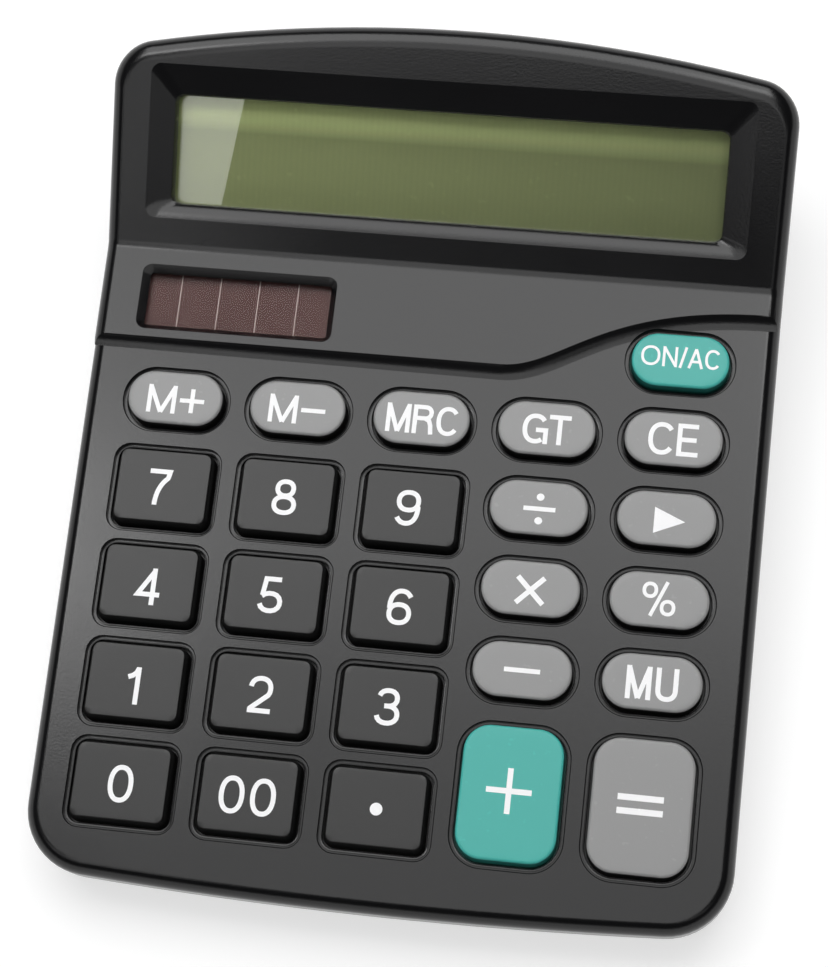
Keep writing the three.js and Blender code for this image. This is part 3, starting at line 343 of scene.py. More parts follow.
def take_all():
    bpy.ops.mesh.select_all(action="SELECT")


def leave_edit():
    bpy.ops.object.mode_set(mode="OBJECT")


def pick(piece, mode, wanted):
    """In edit mode, selects only the points, edges or faces that pass the test."""
    bpy.ops.mesh.select_all(action="DESELECT")
    bpy.ops.mesh.select_mode(type=mode)
    mesh = bmesh.from_edit_mesh(piece.data)
    mesh.normal_update()
    for element in {"VERT": mesh.verts, "EDGE": mesh.edges, "FACE": mesh.faces}[mode]:
        element.select_set(wanted(element))
    mesh.select_flush_mode()
    bmesh.update_edit_mesh(piece.data)


def middle(face):
    return face.calc_center_median()


def push(x=0, y=0, z=0):
    bpy.ops.mesh.extrude_region_move(TRANSFORM_OT_translate={"value": (x, y, z)})


def draw_in(thickness, depth=0):
    bpy.ops.mesh.inset(thickness=thickness, depth=depth)


def named(name, scale=(1, 1, 1)):
    """Names a new primitive, and moves its scale and place into its mesh."""
    piece = bpy.context.object
    piece.name = piece.data.name = name
    piece.scale = scale
    bpy.ops.object.transform_apply(location=True, rotation=False, scale=True)
    return piece


def flat_square(name, place_at, scale=(1, 1, 1)):
    """A level square, left in edit mode with its corners selected."""
    select_none()
    bpy.ops.mesh.primitive_plane_add(size=1, location=place_at)
    piece = named(name, scale)
    bpy.ops.object.mode_set(mode="EDIT")
    bpy.ops.mesh.select_mode(type="VERT")
    take_all()
    return piece


def plate(name, size, corner, z, segments, centre=(0, 0)):
    """A level rounded rectangle, left in edit mode with its face selected."""
    piece = flat_square(name, (*centre, z), (*size, 1))
    bpy.ops.mesh.bevel(offset=corner, segments=segments, affect="VERTICES")
    take_all()
    return piece


def close_up(piece):
    """Faces point outwards and the edit ends."""
    take_all()
    bpy.ops.mesh.normals_make_consistent(inside=False)
    leave_edit()
    return piece


def place(piece, matrix):
    """Moves a finished piece and leaves its object at the origin, with the place in its mesh."""
    select_only(piece)
    piece.matrix_world = matrix
    bpy.ops.object.transform_apply(location=True, rotation=True, scale=True)
    return piece


def copy_of(piece, name, offset=(0, 0, 0)):
    select_only(piece)
    bpy.ops.object.duplicate(linked=False)
    made = bpy.context.object
    made.name = made.data.name = name
    return place(made, Matrix.Translation(offset))


def join(pieces):
    select_only(pieces[0])
    for piece in pieces:
        piece.select_set(True)
    bpy.ops.object.join()
    return pieces[0]


def work(piece, name, kind, **settings):
    """Adds a modifier to the selected piece and applies it."""
    modifier = piece.modifiers.new(name, kind)
    for setting, value in settings.items():
        setattr(modifier, setting, value)
    bpy.ops.object.modifier_apply(modifier=modifier.name)


def combine(piece, other, operation="DIFFERENCE"):
    """Cuts a piece by another, or joins or intersects them, and removes the other."""
    select_only(piece)
    work(piece, "combine", "BOOLEAN", operation=operation, solver="EXACT", object=other)
    bpy.data.objects.remove(other)
    edit(piece)
    take_all()
    bpy.ops.mesh.remove_doubles(threshold=MERGE_DISTANCE)
    bpy.ops.mesh.dissolve_degenerate(threshold=MERGE_DISTANCE)
    leave_edit()
    return piece


def round_over(piece, width, segments, wanted):
    edit(piece)
    pick(piece, "EDGE", wanted)
    bpy.ops.mesh.bevel(offset=width, segments=segments, affect="EDGES", clamp_overlap=True)
    leave_edit()


def smooth(piece, angle=35):
    """Rounds shade smoothly, while broad flat faces keep their own direction."""
    select_only(piece)
    bpy.ops.object.shade_smooth_by_angle(angle=radians(angle))
    work(piece, "face weights", "WEIGHTED_NORMAL", keep_sharp=True)


def finish_piece(piece, body, material, nodes=(), seat=None):
    """Seats a piece modelled on the deck or level on the desk, dresses it and hands it to its body."""
    place(piece, seat or DECK)
    smooth(piece)
    if not piece.data.materials:
        piece.data.materials.append(material)
    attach(piece, body)
    if nodes:
        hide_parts(*nodes)
    return piece


# The case outline: arcs that meet straight sides

FRONT_X = FRONT_WIDTH / 2 - FRONT_CORNER_RADIUS
REAR_X = REAR_WIDTH / 2 - REAR_CORNER_RADIUS
FRONT_CORNER_Y = FRONT_BOW_RADIUS - ((FRONT_BOW_RADIUS - FRONT_CORNER_RADIUS) ** 2 - FRONT_X ** 2) ** 0.5
ARCH_Y = CASE_LENGTH - REAR_ARCH_RADIUS
REAR_CORNER_Y = ARCH_Y + ((REAR_ARCH_RADIUS - REAR_CORNER_RADIUS) ** 2 - REAR_X ** 2) ** 0.5
BOW_ANGLE = asin(FRONT_X / (FRONT_BOW_RADIUS - FRONT_CORNER_RADIUS))
ARCH_ANGLE = asin(REAR_X / (REAR_ARCH_RADIUS - REAR_CORNER_RADIUS))
SIDE_LEAN = atan2(REAR_X - FRONT_X, REAR_CORNER_Y - FRONT_CORNER_Y) - asin(
    (FRONT_CORNER_RADIUS - REAR_CORNER_RADIUS) / hypot(REAR_X - FRONT_X, REAR_CORNER_Y - FRONT_CORNER_Y)
)
BOW_STEPS, CORNER_STEPS, ARCH_STEPS = 8, 12, 24


def turn(angle, steps, x, y, z):
    """Spins the selected point counterclockwise about an upright axis."""
    bpy.ops.mesh.spin(steps=steps, angle=-angle, center=(x, y, z), axis=(0, 0, 1))


def case_plate(name, inset, z):
    """The case's outline as one face, drawn in by a distance, left in edit mode with the face selected."""
    piece = flat_square(name, (0, inset, z))
    bpy.ops.mesh.merge(type="CENTER")
    front_turn = pi / 2 - BOW_ANGLE - SIDE_LEAN
    rear_turn = pi / 2 - ARCH_ANGLE + SIDE_LEAN
    corners = (
        (FRONT_X, FRONT_CORNER_Y, FRONT_CORNER_RADIUS - inset),
        (REAR_X, REAR_CORNER_Y, REAR_CORNER_RADIUS - inset),
    )
    front, rear = [Vector((x + r * cos(SIDE_LEAN), y - r * sin(SIDE_LEAN), 0)) for x, y, r in corners]
    side = rear - front
    turn(BOW_ANGLE, BOW_STEPS, 0, FRONT_BOW_RADIUS, z)
    turn(front_turn, CORNER_STEPS, FRONT_X, FRONT_CORNER_Y, z)
    push(*side)
    turn(rear_turn, CORNER_STEPS, REAR_X, REAR_CORNER_Y, z)
    turn(2 * ARCH_ANGLE, ARCH_STEPS, 0, ARCH_Y, z)
    turn(rear_turn, CORNER_STEPS, -REAR_X, REAR_CORNER_Y, z)
    push(side.x, -side.y, 0)
    turn(front_turn, CORNER_STEPS, -FRONT_X, FRONT_CORNER_Y, z)
    turn(BOW_ANGLE, BOW_STEPS, 0, FRONT_BOW_RADIUS, z)
    take_all()
    bpy.ops.mesh.remove_doubles(threshold=0.001)
    bpy.ops.mesh.edge_face_add()
    return piece


def tip(pivot, before, after):
    """Tips a sloping selection further up about a line across the case, without moving it along the case."""
    bpy.ops.transform.rotate(value=before, orient_axis="X", center_override=pivot)
    bpy.ops.transform.resize(value=(1, cos(before) / cos(after), 1), center_override=pivot)
    bpy.ops.transform.rotate(value=-after, orient_axis="X", center_override=pivot)


def case_block(name, inset, low, deck_z, crease_y, edge):
    """A block with the case's outline, a level deck and a head that rises behind a soft crease."""
    piece = case_plate(name, inset, low)
    push(z=deck_z - low)
    take_all()
    bpy.ops.mesh.normals_make_consistent(inside=False)
    bends = [radians(angle) for angle in CREASE_ANGLES]
    reach = CREASE_START / sum(cos(bend) - sin(bend) / tan(HEAD_TILT) for bend in bends)
    y, z = crease_y - CREASE_START, deck_z
    for before, after in zip([0] + bends, bends + [HEAD_TILT]):
        take_all()
        bpy.ops.mesh.bisect(plane_co=(0, y, 0), plane_no=(0, 1, 0))
        pick(piece, "FACE", lambda f: f.normal.z > 0.85 and middle(f).y > y and middle(f).z > low + 0.1)
        tip((0, y, z), before, after)
        y += reach * cos(after)
        z += reach * sin(after)
    if edge:
        weigh_rim(piece, low, edge)
    close_up(piece)
    if edge:
        rounding = {"width": REAR_EDGE_REACH, "segments": EDGE_SEGMENTS, "use_clamp_overlap": False}
        work(piece, "rim", "BEVEL", limit_method="WEIGHT", **rounding)
    return piece


def weigh_rim(piece, low, edge):
    """Marks how wide the upper rim is rounded: evenly at the sides, wider at the rear and its corners."""
    pick(piece, "EDGE", lambda e: is_upper_rim(e, low))
    mesh = bmesh.from_edit_mesh(piece.data)
    weight = mesh.edges.layers.float.new("bevel_weight_edge")
    for rim in mesh.edges:
        if rim.select:
            behind = sum(v.co.y for v in rim.verts) / 2 - REAR_CORNER_Y
            share = min(max(behind / (REAR_CORNER_RADIUS * cos(ARCH_ANGLE)), 0), 1)
            rim[weight] = (edge + (REAR_EDGE_REACH - edge) * share) / REAR_EDGE_REACH
    bmesh.update_edit_mesh(piece.data)


def is_upper_rim(edge, low):
    """The edge between a block's side wall and its top."""
    if len(edge.link_faces) != 2 or min(v.co.z for v in edge.verts) < low + 0.1:
        return False
    heights = sorted(abs(face.normal.z) for face in edge.link_faces)
    return heights[0] < 0.1 and heights[1] > 0.5


def brow_prism(name):
    """Everything behind the curved step, with a wall that rolls out into the deck."""
    start_x, near_x, far_x, end_x = BROW_CURVE_X
    low_y, high_y = HEAD_Y - BROW_DEPTH_LEFT, HEAD_Y - BROW_DEPTH_RIGHT
    select_none()
    bpy.ops.curve.primitive_bezier_curve_add()
    curve = bpy.context.object
    curve.name = name
    curve.data.resolution_u = BROW_STEPS
    first, last = curve.data.splines[0].bezier_points
    for point in (first, last):
        point.handle_left_type = point.handle_right_type = "FREE"
    first.co = first.handle_left = (start_x, low_y, BROW_RISE)
    first.handle_right = (near_x, low_y, BROW_RISE)
    last.handle_left = (far_x, high_y, BROW_RISE)
    last.co = last.handle_right = (end_x, high_y, BROW_RISE)
    bpy.ops.object.convert(target="MESH")
    prism = bpy.context.object
    reach = REAR_WIDTH / 2 + CUT_OVERRUN
    back = CASE_LENGTH + CUT_OVERRUN
    edit(prism)
    pick(prism, "VERT", lambda v: v.co.x < start_x + NEAR)
    push(x=-reach - start_x)
    push(y=back - low_y)
    pick(prism, "VERT", lambda v: v.co.x > end_x - NEAR)
    push(x=reach - end_x)
    push(y=back - high_y)
    take_all()
    bpy.ops.mesh.edge_face_add()
    slope = 2 * atan2(BROW_RISE, BROW_ROLL)
    radius = BROW_ROLL / sin(slope)
    level, share = BROW_RISE, sin(slope)
    for step in range(1, BROW_ROLL_STEPS + 1):
        angle = slope * (1 - step / BROW_ROLL_STEPS)
        lower = radius * (1 - cos(angle))
        push(z=lower - level)
        pick(prism, "VERT", lambda v: v.co.z < lower + 0.001 and v.co.y < high_y + NEAR)
        bpy.ops.transform.shrink_fatten(value=radius * (share - sin(angle)) * 2 ** 0.5)
        pick(prism, "VERT", lambda v: v.co.z < lower + 0.001)
        bpy.ops.transform.resize(value=(1, 1, 0), center_override=(0, 0, lower))
        pick(prism, "FACE", lambda f: middle(f).z < lower + 0.001 and abs(f.normal.z) > FLAT)
        level, share = lower, sin(angle)
    pick(prism, "FACE", lambda f: middle(f).z < NEAR and abs(f.normal.z) > FACING)
    push(y=BROW_END_EASE, z=-BROW_FOOT)
    pick(prism, "FACE", lambda f: middle(f).z > BROW_RISE - NEAR and abs(f.normal.z) > FACING)
    push(z=CASE_LENGTH)
    return close_up(prism)


# Keys: their kinds, places and openings

# Each kind's size, corner radius and steps, lean of the sides, edge radius, and shift of the top
KINDS = {
    "number": ((CAP_WIDTH, NUMBER_CAP_HEIGHT), 1.7, 5, 0.48, 0.16, 0.17),
    "oval": ((CAP_WIDTH, OVAL_CAP_HEIGHT), 4.5, 12, 0.12, 0.45, 0.08),
    "tall": ((CAP_WIDTH, TALL_CAP_HEIGHT), 4.4, 10, 0.1, 0.45, 0.25),
}


def key_places():
    """Every key as (node, kind, x, y, text, slot)."""
    places = []
    rows = (("0", "00", "point"), ("1", "2", "3"), ("4", "5", "6"), ("7", "8", "9"))
    for row, labels in enumerate(rows):
        for column, label in enumerate(labels):
            y = NUMBER_FRONT_ROW_Y + row * NUMBER_ROW_PITCH
            text = "." if label == "point" else label
            places.append(("key_" + label, "number", (column - 2) * COLUMN_PITCH, y, text, "key_black"))
    ovals = (
        ("memory_plus", 0, 0, "Mp"), ("memory_minus", 1, 0, "Mm"), ("memory_recall", 2, 0, "MRC"),
        ("grand_total", 3, 0, "GT"), ("clear_entry", 4, 0, "CE"), ("divide", 3, -1, "/"),
        ("backspace", 4, -1, ">"), ("multiply", 3, -2, "x"), ("percent", 4, -2, "%"),
        ("minus", 3, -3, "-"), ("markup", 4, -3, "MU"), ("on_clear", 4, 1, "ON|AC"),
    )
    for label, column, row, text in ovals:
        slot = "key_teal" if label == "on_clear" else "key_grey"
        y = MEMORY_ROW_Y + row * OVAL_ROW_PITCH
        places.append(("key_" + label, "oval", (column - 2) * COLUMN_PITCH, y, text, slot))
    places.append(("key_plus", "tall", COLUMN_PITCH, TALL_ROW_Y, "+", "key_teal"))
    places.append(("key_equals", "tall", 2 * COLUMN_PITCH, TALL_ROW_Y, "=", "key_grey"))
    return places


def grown(size, amount):
    """A size made wider by the same amount on each side."""
    return (size[0] + 2 * amount, size[1] + 2 * amount)


def key_cap(kind):
    """A cap from its retaining flange to its top, with the plunger under it."""
    size, corner, segments, lean, edge, shift = KINDS[kind]
    low = FLANGE_TOP - FLANGE_THICKNESS
    cap = plate("cap_" + kind, grown(size, FLANGE_WIDTH), corner + FLANGE_WIDTH, low, segments)
    push(z=FLANGE_THICKNESS)
    draw_in(FLANGE_WIDTH)
    push(z=-LEDGE_DEPTH - FLANGE_TOP)
    draw_in(lean, CAP_RISE + LEDGE_DEPTH - edge)
    bpy.ops.transform.translate(value=(0, shift, 0))
    for step in range(1, EDGE_STEPS + 1):
        near, far = pi / 2 * (step - 1) / EDGE_STEPS, pi / 2 * step / EDGE_STEPS
        draw_in(edge * (cos(near) - cos(far)), edge * (sin(far) - sin(near)))
    draw_in(TOP_BORDER)
    pick(cap, "FACE", lambda f: abs(f.normal.z) > FACING and middle(f).z < low + NEAR)
    draw_in(size[1] / 2 - PLUNGER_RADIUS if kind == "oval" else PLUNGER_INSET)
    push(z=-PLUNGER_LENGTH)
    return close_up(cap)


def ledge_cutter(kind):
    """The shallow step round a key, with its rim eased and a fine groove along its outer foot."""
    size, corner, segments = KINDS[kind][:3]
    reach = KEY_GAP + LEDGE_WIDTH + LEDGE_EASE
    cutter = plate("ledge_" + kind, grown(size, reach), corner + reach, CUT_OVERRUN, segments)
    push(z=-CUT_OVERRUN)
    draw_in(LEDGE_EASE, -LEDGE_EASE)
    push(z=LEDGE_EASE - GROOVE_DEPTH)
    draw_in(GROOVE_WIDTH)
    push(z=GROOVE_DEPTH - LEDGE_DEPTH)
    draw_in(LEDGE_WIDTH - GROOVE_WIDTH, -LEDGE_FALL)
    return close_up(cutter)


def hole_cutter(kind):
    """The hole that a key moves in, with its upper rim eased."""
    size, corner, segments = KINDS[kind][:3]
    reach = KEY_GAP + HOLE_EASE
    cutter = plate("hole_" + kind, grown(size, reach), corner + reach, CUT_OVERRUN / 2, segments)
    push(z=-CUT_OVERRUN / 2 - LEDGE_DEPTH - LEDGE_FALL)
    draw_in(HOLE_EASE, -HOLE_EASE)
    push(z=-WALL - CUT_OVERRUN)
    return close_up(cutter)


def at_all_keys(make):
    """One joined cutter with a copy at each key."""
    made = {kind: make(kind) for kind in KINDS}
    copies = [copy_of(made[kind], "cutter", (x, y, 0)) for _, kind, x, y, _, _ in key_places()]
    for piece in made.values():
        bpy.data.objects.remove(piece)
    return join(copies)


# Top cover

def display_cutter():
    """The recess down to the display: an even shelf on three sides and a rolled one in front."""
    cutter = plate("display_cutter", RECESS_SIZE, RECESS_CORNER, CUT_OVERRUN, 8)
    push(z=-CUT_OVERRUN)
    rear_margin = RECESS_SIZE[1] - WINDOW_SIZE[1] - WINDOW_FRONT_MARGIN
    depth, centre, size = 0, 0, RECESS_SIZE
    for inward, fall in RECESS_PROFILE:
        even = min(fall / SHELF_FALL, 1)
        lower = RECESS_DEPTH * fall
        front = WINDOW_FRONT_MARGIN * inward
        rear = rear_margin * even
        smaller = (RECESS_SIZE[0] + (WINDOW_SIZE[0] - RECESS_SIZE[0]) * even, RECESS_SIZE[1] - front - rear)
        nearer = (front - rear) / 2
        push(z=depth - lower)
        ratio = (smaller[0] / size[0], smaller[1] / size[1], 1)
        bpy.ops.transform.resize(value=ratio, center_override=(0, centre, 0))
        bpy.ops.transform.translate(value=(0, nearer - centre, 0))
        depth, centre, size = lower, nearer, smaller
    push(z=-CUT_OVERRUN)
    close_up(cutter)
    return place(cutter, FACE @ Matrix.Translation((0, RECESS_MARGIN + RECESS_SIZE[1] / 2, FACE_LIFT)))


def display_pocket(name, wall, low, high):
    middle_y = RECESS_MARGIN + WINDOW_FRONT_MARGIN + WINDOW_SIZE[1] / 2
    pocket = plate(name, grown(WINDOW_SIZE, PANEL_MARGIN + wall), POCKET_CORNER, high, 2)
    push(z=low - high)
    return place(close_up(pocket), FACE @ Matrix.Translation((0, middle_y, 0)))


def solar_cutter():
    """The recess over the solar cell, with leaning walls and an open floor for the cell."""
    size, corner = grown(SOLAR_SIZE, RIM_EASE), SOLAR_CORNER + RIM_EASE
    cutter = plate("solar_cutter", size, corner, BROW_RISE + CUT_OVERRUN, 8, (SOLAR_X, SOLAR_RIM_Y))
    push(z=-CUT_OVERRUN)
    draw_in(RIM_EASE, -RIM_EASE)
    draw_in(SOLAR_DRAFT, RIM_EASE - SOLAR_DEPTH)
    push(z=-CUT_OVERRUN)
    return close_up(cutter)


def top_cover(material):
    front = HEAD_Y - FACE_LIFT / sin(HEAD_TILT)
    cover = case_block("top_housing", 0, -SKIRT_DEPTH, 0, front, EDGE_RADIUS)
    raised = case_block("raised_housing", 0, -SKIRT_DEPTH, BROW_RISE, front, EDGE_RADIUS)
    combine(raised, brow_prism("brow"), "INTERSECT")
    combine(cover, raised, "UNION")
    drop = WALL / cos(HEAD_TILT)
    crease = HEAD_Y + (drop - WALL - BROW_RISE) / tan(HEAD_TILT)
    hollow = case_block("hollow", WALL, -SKIRT_DEPTH - CUT_OVERRUN, -WALL, crease, 0)
    combine(hollow, display_pocket("display_frame", PANEL_GAP + POCKET_WALL, PANEL_BACK, 0))
    size = grown(SOLAR_SIZE, SOLAR_FRAME_WIDTH)
    solar_frame = plate("solar_frame", size, POCKET_CORNER, 0, 2, (SOLAR_X, SOLAR_Y))
    push(z=SOLAR_BACK)
    combine(hollow, close_up(solar_frame))
    combine(cover, hollow)
    combine(cover, at_all_keys(ledge_cutter))
    combine(cover, at_all_keys(hole_cutter))
    combine(cover, display_cutter())
    combine(cover, display_pocket("display_seat", PANEL_GAP, PANEL_BACK - CUT_OVERRUN, LENS_TOP))
    combine(cover, solar_cutter())
    size, high = grown(SOLAR_SIZE, SOLAR_SEAT_WIDTH), -SOLAR_DEPTH + BROW_RISE - SOLAR_SEAT_DROP
    solar_seat = plate("solar_seat", size, SOLAR_SEAT_CORNER, high, 2, (SOLAR_X, SOLAR_Y))
    push(z=-SOLAR_SEAT_DEPTH)
    combine(cover, close_up(solar_seat))
    round_over(cover, BROW_EASE, 3, is_brow_rim)
    edit(cover)
    pick(cover, "EDGE", is_recess_rim)
    bpy.ops.mesh.mark_sharp()
    leave_edit()
    return finish_piece(cover, "case", material, ("top_cover",))


def is_recess_rim(edge):
    """The display recess's rim, where it meets the head's face."""
    half_x, half_y = RECESS_SIZE[0] / 2, RECESS_SIZE[1] / 2
    for vert in edge.verts:
        x, y, z = TO_FACE @ vert.co
        inside = abs(x) < half_x + 0.02 and abs(y - RECESS_MARGIN - half_y) < half_y + 0.02
        if not inside or abs(z - FACE_LIFT) > NEAR:
            return False
    return True


def is_brow_rim(edge):
    """The upper edge of the curved step."""
    if len(edge.link_faces) != 2 or any(abs(v.co.z - BROW_RISE) > 0.02 for v in edge.verts):
        return False
    if max(v.co.y for v in edge.verts) > HEAD_Y - BROW_DEPTH_RIGHT + 0.6:
        return False
    heights = sorted(abs(face.normal.z) for face in edge.link_faces)
    return heights[1] > FLAT and 0.5 < heights[0] < FACING


# Bottom cover, battery door and what sits on them, in a frame that lies level on the desk

def ring(name, inset, z, seat):
    """The case's outline as a loose plate, moved to its level."""
    piece = case_plate(name, inset, z)
    leave_edit()
    return place(piece, seat)


def stack(rings):
    """One closed body with walls bridged from each outline to the next, lowest first."""
    count = len(rings[0].data.vertices)
    levels = len(rings)
    body = join(rings)
    edit(body)
    bpy.ops.mesh.select_mode(type="EDGE")
    take_all()
    bpy.ops.mesh.delete(type="ONLY_FACE")

    def pick_levels(first, end):
        pick(body, "EDGE", lambda e: all(first * count <= v.index < end * count for v in e.verts))

    for level in range(levels - 1):
        pick_levels(level, level + 2)
        bpy.ops.mesh.bridge_edge_loops()
    for level in (0, levels - 1):
        pick_levels(level, level + 1)
        bpy.ops.mesh.edge_face_add()
    return close_up(body)


def tray_body(name):
    """The bottom cover's outside: rounded up from its floor, then widening to the rim."""
    rings = []
    for step in range(BASE_STEPS + 1):
        angle = pi / 2 * step / BASE_STEPS
        inset = BASE_TAPER + BASE_FILLET * (1 - sin(angle))
        seat = Matrix.Translation((0, 0, FOOT_DROP + BASE_FILLET * (1 - cos(angle)))) @ LEVEL
        rings.append(ring(name, inset, 0, seat))
    rings.append(ring(name, 0, RIM_Z, DECK_ON_DESK))
    return stack(rings)


def block(name, low, high):
    """A box between two corners."""
    select_none()
    bpy.ops.mesh.primitive_cube_add(size=1, location=[(a + b) / 2 for a, b in zip(low, high)])
    return named(name, [b - a for a, b in zip(low, high)])


def rod(name, x, y, radius, low, high, sides=32):
    """An upright cylinder."""
    select_none()
    centre = (x, y, (low + high) / 2)
    bpy.ops.mesh.primitive_cylinder_add(vertices=sides, radius=radius, depth=high - low, location=centre)
    return named(name)


def door_space(name, grow):
    """The room the door takes: a plate, and a thin tongue that reaches under the tray on each side."""
    half = BAY_LENGTH / 2 - GAP + grow
    reach = half + TONGUE[0]
    front = BAY_FRONT_Y + GAP - grow
    low, high = FLOOR_TOP - TONGUE[1] - grow, FLOOR_TOP + grow
    back = CASE_LENGTH + CUT_OVERRUN
    plate_part = block(name, (-half, front, -CUT_OVERRUN), (half, back, high))
    tongue_back = back if grow > 0 else BAY_REAR_Y
    tongue = block(name + "_tongue", (-reach, front, low), (reach, tongue_back, high))
    return combine(plate_part, tongue, "UNION")


def bottom_cover(material):
    tray = tray_body("bottom_housing")
    lip = [ring("lip", LIP_INSET, z, DECK_ON_DESK) for z in (RIM_Z - LIP_ROOT, LIP_TOP)]
    combine(tray, stack(lip), "UNION")
    inner = LIP_INSET + LIP_THICKNESS
    hollow = stack([
        ring("tray_hollow", BASE_TAPER + inner, 0, Matrix.Translation((0, 0, FLOOR_TOP)) @ LEVEL),
        ring("tray_hollow", inner, RIM_Z - LIP_ROOT, DECK_ON_DESK),
        ring("tray_hollow", inner, LIP_TOP + CUT_OVERRUN, DECK_ON_DESK),
    ])
    half = BAY_LENGTH / 2
    bay_low, bay_high = (-half, BAY_FRONT_Y, 0), (half, BAY_REAR_Y, BAY_TOP)
    walls = block("bay_walls", [v - BAY_WALL for v in bay_low], [v + BAY_WALL for v in bay_high])
    combine(hollow, walls)
    for x, y in CASE_SCREWS:
        combine(hollow, place(rod("post", x, y, POST_RADIUS, -CASE_LENGTH, RIM_Z), DECK_ON_DESK))
    combine(tray, hollow)
    combine(tray, block("bay", bay_low, bay_high))
    combine(tray, door_space("door_space", GAP))
    for x, y in CASE_SCREWS:
        for radius, high in ((SCREW_RADIUS, 0), (SCREW_HEAD_RADIUS, RIM_Z - SCREW_SEAT)):
            hole = rod("screw_hole", x, y, radius + GAP, -CASE_LENGTH, high)
            combine(tray, place(hole, DECK_ON_DESK))
    for x, y in FOOT_PLACES:
        high = FOOT_DROP + FOOT_RECESS
        combine(tray, rod("foot_recess", x, y, FOOT_RADIUS + GAP, 0, high, ROUND_SIDES))
    return finish_piece(tray, "case", material, ("bottom_cover",), BASE)


def battery_door(material):
    door = door_space("battery_hatch", 0)
    combine(door, tray_body("door_outline"), "INTERSECT")
    high = FOOT_DROP + FINGER_GROOVE_DEPTH
    for row in range(FINGER_GROOVES):
        y = BAY_FRONT_Y + FINGER_GROOVE_MARGIN + row * FINGER_GROOVE_PITCH
        groove = plate("groove", FINGER_GROOVE_SIZE, FINGER_GROOVE_CORNER, high, 5, (0, y))
        push(z=-CUT_OVERRUN)
        combine(door, close_up(groove))
    arrow = new_mesh("arrow", ARROW, [], [(0, 1, 2)])
    edit(arrow)
    take_all()
    push(z=-CUT_OVERRUN)
    seat = Matrix.Translation((0, BAY_FRONT_Y + ARROW_MARGIN, FOOT_DROP + ARROW_DEPTH))
    combine(door, place(close_up(arrow), seat))
    return finish_piece(door, "battery_door", material, ("battery_door",), BASE)


def foot(name, x, y, material):
    """A rubber pad with a rounded rim and a shallow dish."""
    pad = rod(name, x, y, FOOT_RADIUS, 0, FOOT_DROP + FOOT_RECESS - GAP, ROUND_SIDES)
    edit(pad)
    pick(pad, "FACE", lambda f: f.normal.z < -FACING)
    bpy.ops.mesh.bevel(offset=FOOT_EASE, segments=4, affect="EDGES")
    pick(pad, "FACE", lambda f: f.normal.z < -FLAT)
    draw_in(FOOT_RIM)
    draw_in(FOOT_DISH_EDGE, -FOOT_DISH_DEPTH)
    draw_in(FOOT_DISH_BORDER)
    close_up(pad)
    return finish_piece(pad, "case", material, (name.replace("pad_", "foot_"),), BASE)


def case_screw(name, node, x, y, material):
    """A pan-head screw with a cross recess."""
    seat = RIM_Z - SCREW_SEAT - GAP
    low = seat - SCREW_HEAD_HEIGHT
    screw = rod(name, x, y, SCREW_HEAD_RADIUS, low, seat)
    edit(screw)
    pick(screw, "FACE", lambda f: f.normal.z < -FACING)
    bpy.ops.mesh.bevel(offset=SCREW_EASE, segments=4, affect="EDGES")
    pick(screw, "FACE", lambda f: f.normal.z > FACING)
    draw_in(SCREW_HEAD_RADIUS - SCREW_RADIUS)
    push(z=SCREW_TIP - SCREW_RADIUS - seat)
    push(z=SCREW_RADIUS)
    bpy.ops.transform.resize(value=(SCREW_POINT, SCREW_POINT, 1), center_override=(x, y, 0))
    close_up(screw)
    head = Matrix.Translation((x, y, low - SLOT_OVERRUN))
    for turn_by in (0, pi / 2):
        slot = plate("slot", SLOT_SIZE, SLOT_CORNER, 0, 3)
        push(z=SLOT_DEPTH)
        bpy.ops.transform.resize(value=SLOT_TAPER, center_override=(0, 0, 0))
        combine(screw, place(close_up(slot), head @ Matrix.Rotation(turn_by, 4, "Z")))
    return finish_piece(screw, "case", material, (node,))


def battery_cell(material):
    """A single cell on its side with its nub to the right."""
    cell = rod("dry_cell", 0, 0, CELL_RADIUS, 0, CELL_LENGTH, 64)
    edit(cell)
    pick(cell, "EDGE", lambda e: abs(e.link_faces[0].normal.z - e.link_faces[1].normal.z) > 0.9)
    bpy.ops.mesh.bevel(offset=CELL_EASE, segments=4, affect="EDGES")
    pick(cell, "FACE", lambda f: abs(f.normal.z) > FLAT and middle(f).z > 1)
    draw_in(CELL_RIM, -CELL_STEP)
    draw_in(CELL_RADIUS - CELL_EASE - CELL_RIM - CELL_NUB_RADIUS, CELL_STEP)
    push(z=CELL_NUB_LENGTH - CELL_NUB_EASE)
    draw_in(CELL_NUB_EASE, CELL_NUB_EASE)
    pick(cell, "FACE", lambda f: abs(f.normal.z) > FLAT and middle(f).z < 0.1)
    draw_in(CELL_END_RIM, -CELL_END_STEP)
    draw_in(CELL_NUB_EASE, CELL_END_STEP)
    close_up(cell)
    left_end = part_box("battery")[0].x / MM
    seat = Matrix.Translation((left_end, BAY_CENTRE_Y, FLOOR_TOP + GAP + CELL_RADIUS))
    place(cell, seat @ Matrix.Rotation(pi / 2, 4, "Y"))
    return finish_piece(cell, "case", material, ("battery",), BASE)


# Legends: strokes of even width, laid out in shares of a character's height

def arc(x, y, reach_x, reach_y, start, end, steps=14):
    """Points on a slightly squared oval; angles in degrees, counterclockwise where they rise."""
    points = []
    for step in range(steps + 1):
        angle = radians(start + (end - start) * step / steps)
        c, s = cos(angle), sin(angle)
        fullness = (abs(c) ** OVAL_POWER + abs(s) ** OVAL_POWER) ** (-1 / OVAL_POWER)
        points.append((x + reach_x * c * fullness, y + reach_y * s * fullness))
    return points


def dot(x, y, radius):
    return [(x + radius * cos(pi * step / 12), y + radius * sin(pi * step / 12)) for step in range(24)]


